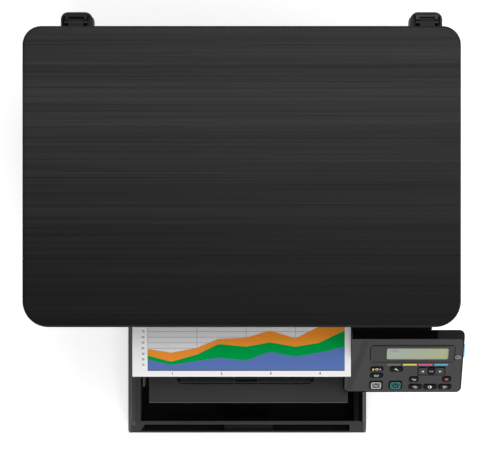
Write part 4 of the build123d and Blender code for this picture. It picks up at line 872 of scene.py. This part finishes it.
# What is printed on the face or let into it, in millimetres across and up the slope:
# gauges, the power mark, the display's window, the frame round the arrow keys with its tail,
# dark wells round the other keys, and the slanting stripe at the left
gauges = {
    "places": (("greyInk", 145.3), ("yellow", 161.2), ("magenta", 176.6), ("cyan", 192.2)),
    "shape": (13.8, 2.1, 0.5),     # width, height, corner
    "v": -32.2,
}
powerMark = {
    "place": (208.4, -22.2),
    "outlines": [*ring(2.5, 1.9, 0.42), bar((0, -0.9), (0, 0.9), 0.42)],
}
window = {
    "x": 163.3,
    "v": -17.4,
    "width": 83.0,
    "height": 22.0,
    "corner": 3.5,
    "rise": 0.4,
    "plateInset": 0.5,
    "plateHalf": 0.02,
    "display": (137.9, 198.6, -25.3, -10.0),     # left, right, bottom, top
    "displayCorner": 1.8,
    "displayDepth": -0.42,
    "line": 0.9,
    "rimInset": 0.2,
    "rimInk": 0.06,
    "digitInk": 0.05,
    "digits": ("100%", 4.2, 7.2, -14.4),         # words, height, from the left, v
}
arrowFrame = {
    "place": (182.9, -40.9),
    "outlines": [
        *frameOutline(26.6, 10.6, 0.9, 1.3),
        bar((-13.3, 5.5), (13.3, 5.5), 1.1), bar((-12.7, -5.0), (-13.5, -8.1), 1.0),
    ],
}
wells = {
    "grow": 0.6,
    "line": 0.6,
    "corner": 2.2,
    # each key's width and height, and how far its well hangs below its middle
    "keys": (
        ("supplies", 12.2, 5.6, 0.0), ("quality", 12.2, 5.6, 0.0), ("setup", 12.4, 6.0, 0.0),
        ("ok", 6.4, 8.8, 0.0), ("back", 8.6, 6.6, 0.0), ("cancel", 8.0, 6.6, 0.0),
        ("copies", 12.4, 6.4, 0.0), ("contrast", 12.4, 6.4, 0.0), ("menu", 12.4, 6.4, 0.0),
        ("start_black", 12.4, 11.0, 0.6), ("start_colour", 12.4, 11.0, 0.6),
    ),
}
stripeInk = 0.03
faceStripe = [
    [(112.9, -0.8), (120.3, -0.8), (116.0, -20.0), (108.9, -20.0)],
    [(108.9, -20.0), (116.0, -20.0), (108.8, -47.2), (103.6, -47.2), (103.6, -38.9)],
    [(101.5, -47.8), (108.7, -47.8), (104.0, -67.2), (98.4, -67.2), (98.4, -64.3)],
]


def faceInk(name, outlines, finish, high, low=-panelFace["bite"]):
    prisms(name, outlines, onFace, low, high, finish, "panel")


def addGauges():
    for ink, x in gauges["places"]:
        gauge = roundedOblong(*gauges["shape"], x, gauges["v"])
        faceInk("gauge" + ink.capitalize(), [gauge], ink, panelFace["inkDepth"])
    power = [moved(outline, *powerMark["place"]) for outline in powerMark["outlines"]]
    faceInk("powerMark", power, "pale", panelFace["inkDepth"])


def addWindow():
    # A plate let into the CAD's raised rim, with a seam around it and a hole for the display
    x, v, width, height = window["x"], window["v"], window["width"], window["height"]
    rise, inset, half = window["rise"], window["plateInset"], window["plateHalf"]
    seam = frameOutline(width, height, window["line"], window["corner"], x, v)
    faceInk("windowSeam", seam, "seam", rise + panelFace["bite"])
    left, right = x - width / 2 + inset, x + width / 2 - inset
    bottom, top = v - height / 2 + inset, v + height / 2 - inset
    lcdLeft, lcdRight, lcdBottom, lcdTop = window["display"]
    plate = [[(x0, v0), (x1, v0), (x1, v1), (x0, v1)] for x0, x1, v0, v1 in (
        (left, lcdLeft, bottom, top), (lcdRight, right, bottom, top),
        (lcdLeft, lcdRight, bottom, lcdBottom), (lcdLeft, lcdRight, lcdTop, top),
    )]
    radius = window["displayCorner"]
    for x0, v0, sx, sv in ((lcdLeft, lcdBottom, 1, 1), (lcdRight, lcdBottom, -1, 1),
                           (lcdLeft, lcdTop, 1, -1), (lcdRight, lcdTop, -1, -1)):
        curve = arc(-sx * radius, -sv * radius, 0, 0.25, 6, x0 + sx * radius, v0 + sv * radius)
        plate += [[(x0, v0), a, b] for a, b in zip(curve, curve[1:])]
    faceInk("windowPlate", plate, "bezel", rise + half, rise - half)
    depth, rimInset = window["displayDepth"], window["rimInset"]
    rim = frameOutline(lcdRight - lcdLeft - rimInset, lcdTop - lcdBottom - rimInset, window["line"],
                       radius, (lcdLeft + lcdRight) / 2, (lcdBottom + lcdTop) / 2)
    faceInk("displayRim", rim, "displayEdge", depth + window["rimInk"], depth)
    words, size, fromLeft, digitsV = window["digits"]
    digits = [moved(part, lcdLeft + fromLeft, digitsV) for part in textOutlines(words, size)]
    faceInk("displayDigits", digits, "lcdInk", depth + window["digitInk"], depth)


def addGrooves():
    groove = [moved(outline, *arrowFrame["place"]) for outline in arrowFrame["outlines"]]
    faceInk("clusterGroove", groove, "well", panelFace["inkDepth"] * 0.5)
    frames = []
    for key, width, height, drop in wells["keys"]:
        x, v = keyCentre(key + "_button")
        frames += frameOutline(width + wells["grow"], height + wells["grow"], wells["line"],
                               wells["corner"], x, v - drop)
    faceInk("keyWells", frames, "well", panelFace["inkDepth"] * 0.4)


markKeys()
addGauges()
addWindow()
addGrooves()
faceInk("faceStripe", faceStripe, "panelDark", stripeInk)
print("control panel marked")


# Small parts that repeat: a pattern mesh is set on a list of places by Geometry Nodes,
# each copy with its own turn about its axis, and the result is kept as a plain mesh

def repeatGroup():
    group = bpy.data.node_groups.new("repeatOnPlaces", "GeometryNodeTree")
    for name, kind in {
        "Places": "Geometry", "Pattern": "Object", "Facing": "Vector", "Loose turn": "Float",
        "Seed": "Int", "Finish": "Material", "Copies": "Geometry",
    }.items():
        way = "OUTPUT" if name == "Copies" else "INPUT"
        group.interface.new_socket(name=name, in_out=way, socket_type="NodeSocket" + kind)
    given = group.nodes.new("NodeGroupInput")
    result = group.nodes.new("NodeGroupOutput")

    def inlet(name):
        return Wire(group, given.outputs[name])

    pattern = addNode(group, "GeometryNodeObjectInfo", {}, {"Object": inlet("Pattern")},
                      output="Geometry")
    copies = addNode(group, "GeometryNodeInstanceOnPoints", {}, {
        "Points": inlet("Places"), "Instance": pattern, "Rotation": inlet("Facing"),
    })
    limit = inlet("Loose turn")
    chance = addNode(group, "FunctionNodeRandomValue", {"data_type": "FLOAT"}, {
        2: limit * -1.0, 3: limit, "Seed": inlet("Seed"),
    }, output=1)
    spin = addNode(group, "ShaderNodeCombineXYZ", {}, {"Z": chance})
    spun = addNode(group, "GeometryNodeRotateInstances", {}, {0: copies, "Rotation": spin})
    solid = addNode(group, "GeometryNodeRealizeInstances", {}, {0: spun})
    painted = addNode(group, "GeometryNodeSetMaterial", {}, {
        0: solid, "Material": inlet("Finish"),
    })
    group.links.new(painted.socket, result.inputs["Copies"])
    return group


repeatOnPlaces = repeatGroup()
facingUp = (0.0, 0.0, 0.0)
facingRear = (-math.pi / 2, 0.0, 0.0)


def onTable(x, y, z):
    return (x * mm, y * mm, z * mm)


def repeat(name, layers, places, facing, finish, body, looseTurn=0.0, seed=3):
    # Layers are outlines with their low and high in millimetres, stood on the origin
    # and pointing up; places are in millimetres too
    vertices, faces = [], []
    for outline, low, high in layers:
        addPrism(vertices, faces, outline, onTable, low, high)
    patternMesh = bpy.data.meshes.new(name + "Pattern")
    patternMesh.from_pydata(vertices, [], faces)
    pattern = linked(name + "Pattern", patternMesh)
    placesMesh = bpy.data.meshes.new(name + "Places")
    placesMesh.from_pydata([onTable(*place) for place in places], [], [])
    holder = linked(name + "Places", placesMesh)
    modifier = holder.modifiers.new("repeat", "NODES")
    modifier.node_group = repeatOnPlaces
    values = {
        "Pattern": pattern, "Facing": facing, "Loose turn": looseTurn, "Seed": seed,
        "Finish": finishes[finish],
    }
    for item in repeatOnPlaces.interface.items_tree:
        if item.in_out == "INPUT" and item.name in values:
            modifier[item.identifier] = values[item.name]
    made = baked(holder)
    for helper in (holder, pattern):
        bpy.data.objects.remove(helper)
    piece = linked(name, made)
    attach(piece, body)


def steps(first, last, step):
    return [first + step * i for i in range(int((last - first) / step) + 1)]


def sides(node):
    # Left, right, front, rear and top of a node, in millimetres
    low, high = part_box(node)
    return low.x / mm, high.x / mm, low.y / mm, high.y / mm, high.z / mm


# Screws in the back: a flat washer head with a cross recess between four raised quarters

screws = {
    "head": 3.3,
    "crown": 2.7,
    "washer": 0.5,
    "rise": 1.1,
    "halfSlot": 0.45,
    "sink": 0.1,          # of the quarters in the washer
    "rear": [(-139, 24), (-139, 196), (-190, 24), (-190, 196),
             (139, 24), (139, 196), (180, 76), (180, 196)],
    "plate": [(-190, 60), (-154, 92)],
    "plateSize": 0.6,     # of the plate's screws against the others
}


def crossQuarter(radius, half, degrees):
    start = math.asin(half / radius) / (2 * math.pi)
    return turned([(half, half), *arc(radius, radius, start, 0.25 - start, 6)], degrees)


def addScrews():
    head = [(disc(screws["head"]), 0.0, screws["washer"])]
    for quarter in range(4):
        outline = crossQuarter(screws["crown"], screws["halfSlot"], 90 * quarter)
        head.append((outline, screws["washer"] - screws["sink"], screws["rise"]))
    size = screws["plateSize"]
    small = [(*scaled([outline], size), low * size, high * size) for outline, low, high in head]
    for name, layers, node, places, seed in (
        ("rearScrews", head, "rear_cover", screws["rear"], 11),
        ("plateScrews", small, "rear_ports", screws["plate"], 5),
    ):
        rear = sides(node)[3]
        repeat(name, layers, [(x, rear, z) for x, z in places], facingRear, "screw",
               "chassis", looseTurn=math.pi, seed=seed)


addScrews()


# Scales: size ticks beside the scanner's glass, and on the tray's floor for the paper guides

scales = {
    "tick": 0.4,
    "short": 1.6,
    "long": 2.8,
    "ink": 0.05,
    "edgeGap": 5.5,        # from the glass to the middle of the ticks
    "glassInset": 10,      # from the glass's corner to the first tick
    "glassStep": 10,
    "origin": [(-2.0, 2.0), (-7.0, 3.5), (-3.5, 7.0)],     # from the glass's rear left corner
    "trayStep": 6,
    "trayX": 32,           # of the ticks for the page's length
    "trayLengths": (-165, -90),
    "trayY": -104,         # of the ticks for the page's width
    "trayWidths": (42, 108),
    "floorProbe": -130,    # a Y place where the tray's floor is free
}


def heightAt(node, x, y):
    # The top of a node over one place, in millimetres
    return hitFromAbove(node, [(x * mm, y * mm)])[0].z / mm


def addTicks(name, width, height, places, finish, body):
    layer = (oblong(width, height), 0.0, scales["ink"])
    repeat(name, [layer], places, facingUp, finish, body)


def addScales():
    left, right, front, rear = sides("scanner_glass")[:4]
    tick, long, gap = scales["tick"], scales["long"], scales["edgeGap"]
    inset, step = scales["glassInset"], scales["glassStep"]
    rim = heightAt("scanner_base", left - gap, (front + rear) / 2)
    beside = [(left - gap, y, rim) for y in steps(front + inset, rear, step)]
    behind = [(x, rear + gap, rim) for x in steps(left + inset, right, step)]
    addTicks("glassTicksSide", long, tick, beside, "pale", "scanner")
    addTicks("glassTicksRear", tick, long, behind, "pale", "scanner")
    prisms("glassOrigin", [moved(scales["origin"], left, rear)], onTable, rim, rim + scales["ink"],
           "pale", "scanner")
    floor = heightAt("paper_tray", scales["trayX"], scales["floorProbe"])
    step = scales["trayStep"]
    along = [(scales["trayX"], y, floor) for y in steps(*scales["trayLengths"], step)]
    across = [(x, scales["trayY"], floor) for x in steps(*scales["trayWidths"], step)]
    addTicks("trayTicksLength", long, tick, along, "greyInk", "tray")
    addTicks("trayTicksWidth", tick, scales["short"], across, "greyInk", "tray")


addScales()


# Sockets in the rear plate: a ladder of gilt contacts above, a pale tongue in a collar below

sockets = {
    "x": -172.8,
    "depth": 176.0,
    "contacts": 8,
    "contactStep": 1.02,
    "contact": (0.45, 1.6),
    "contactLength": 7.0,
    "contactsZ": 88.6,
    "tongue": (5.4, 3.0, 0.4),     # width, height, corner
    "tongueLength": 8.0,
    "tongueZ": 66.5,
}


def addSockets():
    x, depth, count = sockets["x"], sockets["depth"], sockets["contacts"]
    rows = [(x + sockets["contactStep"] * (i - (count - 1) / 2), depth, sockets["contactsZ"])
            for i in range(count)]
    contact = (oblong(*sockets["contact"]), 0.0, sockets["contactLength"])
    repeat("socketContacts", [contact], rows, facingRear, "gilt", "chassis")
    tongue = (roundedOblong(*sockets["tongue"]), 0.0, sockets["tongueLength"])
    repeat("socketTongue", [tongue], [(x, depth, sockets["tongueZ"])], facingRear, "pad",
           "chassis")


addSockets()


# The latch tab behind the stop's front bar, with painted shadow lines for a groove down each side
# and for a catch in front

stopTab = {
    "bar": 6,             # depth of the stop's front bar
    "sideGap": 0.8,       # to the notch behind the bar
    "frontGap": 4.5,      # to the stop's front and rear
    "rearGap": 0.5,
    "corner": 0.8,
    "drop": 0.1,          # below the stop's top
    "thickness": 2.4,
    "sink": 0.02,
    "ink": 0.06,
    # painted shadow lines for the grooves and catch: width, height, and place from the tab's middle
    # and the stop's front
    "marks": (
        (1.0, 9.0, -12.65, 10.2), (1.0, 9.0, 12.65, 10.2),
        (10.15, 0.9, -7.825, 6.2), (10.15, 0.9, 7.825, 6.2), (5.0, 1.6, 0.0, 7.2),
    ),
}


def addStopTab():
    front, rear, top = sides("extension_stop")[2:]
    notch = [vertex.co.x / mm for vertex in nodes["extension_stop"].data.vertices
             if vertex.co.y / mm > front + stopTab["bar"]]
    left = max(x for x in notch if x < 0) + stopTab["sideGap"]
    right = min(x for x in notch if x > 0) - stopTab["sideGap"]
    x, top = (left + right) / 2, top - stopTab["drop"]
    low, high = front + stopTab["frontGap"], rear - stopTab["rearGap"]
    outline = roundedOblong(right - left, high - low, stopTab["corner"], x, (low + high) / 2)
    prisms("stopTab", [outline], onTable, top - stopTab["thickness"], top, "tab",
           "extension")
    # Painted shadow: dark strips on the tab's top, for the shade in the grooves and catch
    marks = [oblong(width, height, x + aside, front + y)
             for width, height, aside, y in stopTab["marks"]]
    low = top - stopTab["sink"]
    prisms("stopTabSlot", marks, onTable, low, low + stopTab["ink"], "well",
           "extension")


addStopTab()


# A lip on the hood closes the hair gap in front of the panel's bracket

hoodLip = {
    "y": -96.35,
    "depth": 1.7,
    "sideGap": 1.0,
    "sink": 0.1,
    "rise": 0.15,
}


def addHoodLip():
    left, right = sides("panel_bracket")[:2]
    top = sides("panel_housing")[4]
    width = right - left - 2 * hoodLip["sideGap"]
    lip = oblong(width, hoodLip["depth"], (left + right) / 2, hoodLip["y"])
    prisms("hoodLip", [lip], onTable, top - hoodLip["sink"], top + hoodLip["rise"],
           "well", "panel")


addHoodLip()
print("small parts added")


# Floor, lamps and world

studio = {
    "floorSize": 12.0,
    "floorTone": 0.85,
    "floorRoughness": 0.9,
    "floorSpecular": 0.1,
    "floorGlow": 0.5,     # only in the camera's sight
    "worldStrength": 0.28,
}
lamps = [
    # name, place, target, width, height, watts
    ("overheadSoft", (0.35, 1.05, 3.3), (0.0, 0.1, 0.2), 1.9, 1.3, 36),
    ("rightSoft", (2.4, -0.2, 1.5), (0.0, -0.05, 0.1), 1.0, 1.4, 18),
    ("frontSoft", (0.0, -2.7, 2.4), (0.0, -0.1, 0.2), 2.2, 1.0, 66),
]


def addFloor():
    material, tree, place = startMaterial("studioFloor")
    grain = noise(tree, place, 30, 2.0, 0.5)
    shade, glow = studio["floorTone"], studio["floorGlow"]
    seen = addNode(tree, "ShaderNodeLightPath", {}, {}, output="Is Camera Ray")
    black, white = (0.0, 0.0, 0.0, 1.0), (glow, glow, glow, 1.0)
    endMaterial(material, {
        "Base Color": (shade, shade, shade, 1.0),
        "Roughness": grain * 0.02 + studio["floorRoughness"],
        "Specular IOR Level": studio["floorSpecular"],
        "Emission Color": mixColours(tree, seen, black, white),
        "Emission Strength": 1.0,
    })
    mesh = bpy.data.meshes.new("studioFloor")
    corners = [(x, y, 0) for x, y in oblong(studio["floorSize"], studio["floorSize"])]
    mesh.from_pydata(corners, [], [(0, 1, 2, 3)])
    mesh.materials.append(material)
    linked("studioFloor", mesh)


def addLamps():
    for name, place, target, width, height, watts in lamps:
        data = bpy.data.lights.new(name, "AREA")
        data.shape = "RECTANGLE"
        data.size, data.size_y = width, height
        data.energy = watts
        lamp = linked(name, data)
        lamp.location = place
        aim = Vector(target) - Vector(place)
        lamp.rotation_euler = aim.to_track_quat("-Z", "Y").to_euler()


def addWorld():
    world = bpy.data.worlds.new("studioWorld")
    bpy.context.scene.world = world
    world.use_nodes = True
    tree = world.node_tree
    tree.nodes.clear()
    # Full white where the camera sees it, and dimmer as light on the machine
    seen = addNode(tree, "ShaderNodeLightPath", {}, {}, output="Is Camera Ray")
    strength = seen * (1.0 - studio["worldStrength"]) + studio["worldStrength"]
    white = (1.0, 1.0, 1.0, 1.0)
    sky = addNode(tree, "ShaderNodeBackground", {}, {"Color": white, "Strength": strength})
    addNode(tree, "ShaderNodeOutputWorld", {}, {"Surface": sky})


addFloor()
addLamps()
addWorld()
bpy.context.scene.view_settings.view_transform = "Standard"
print("studio set")
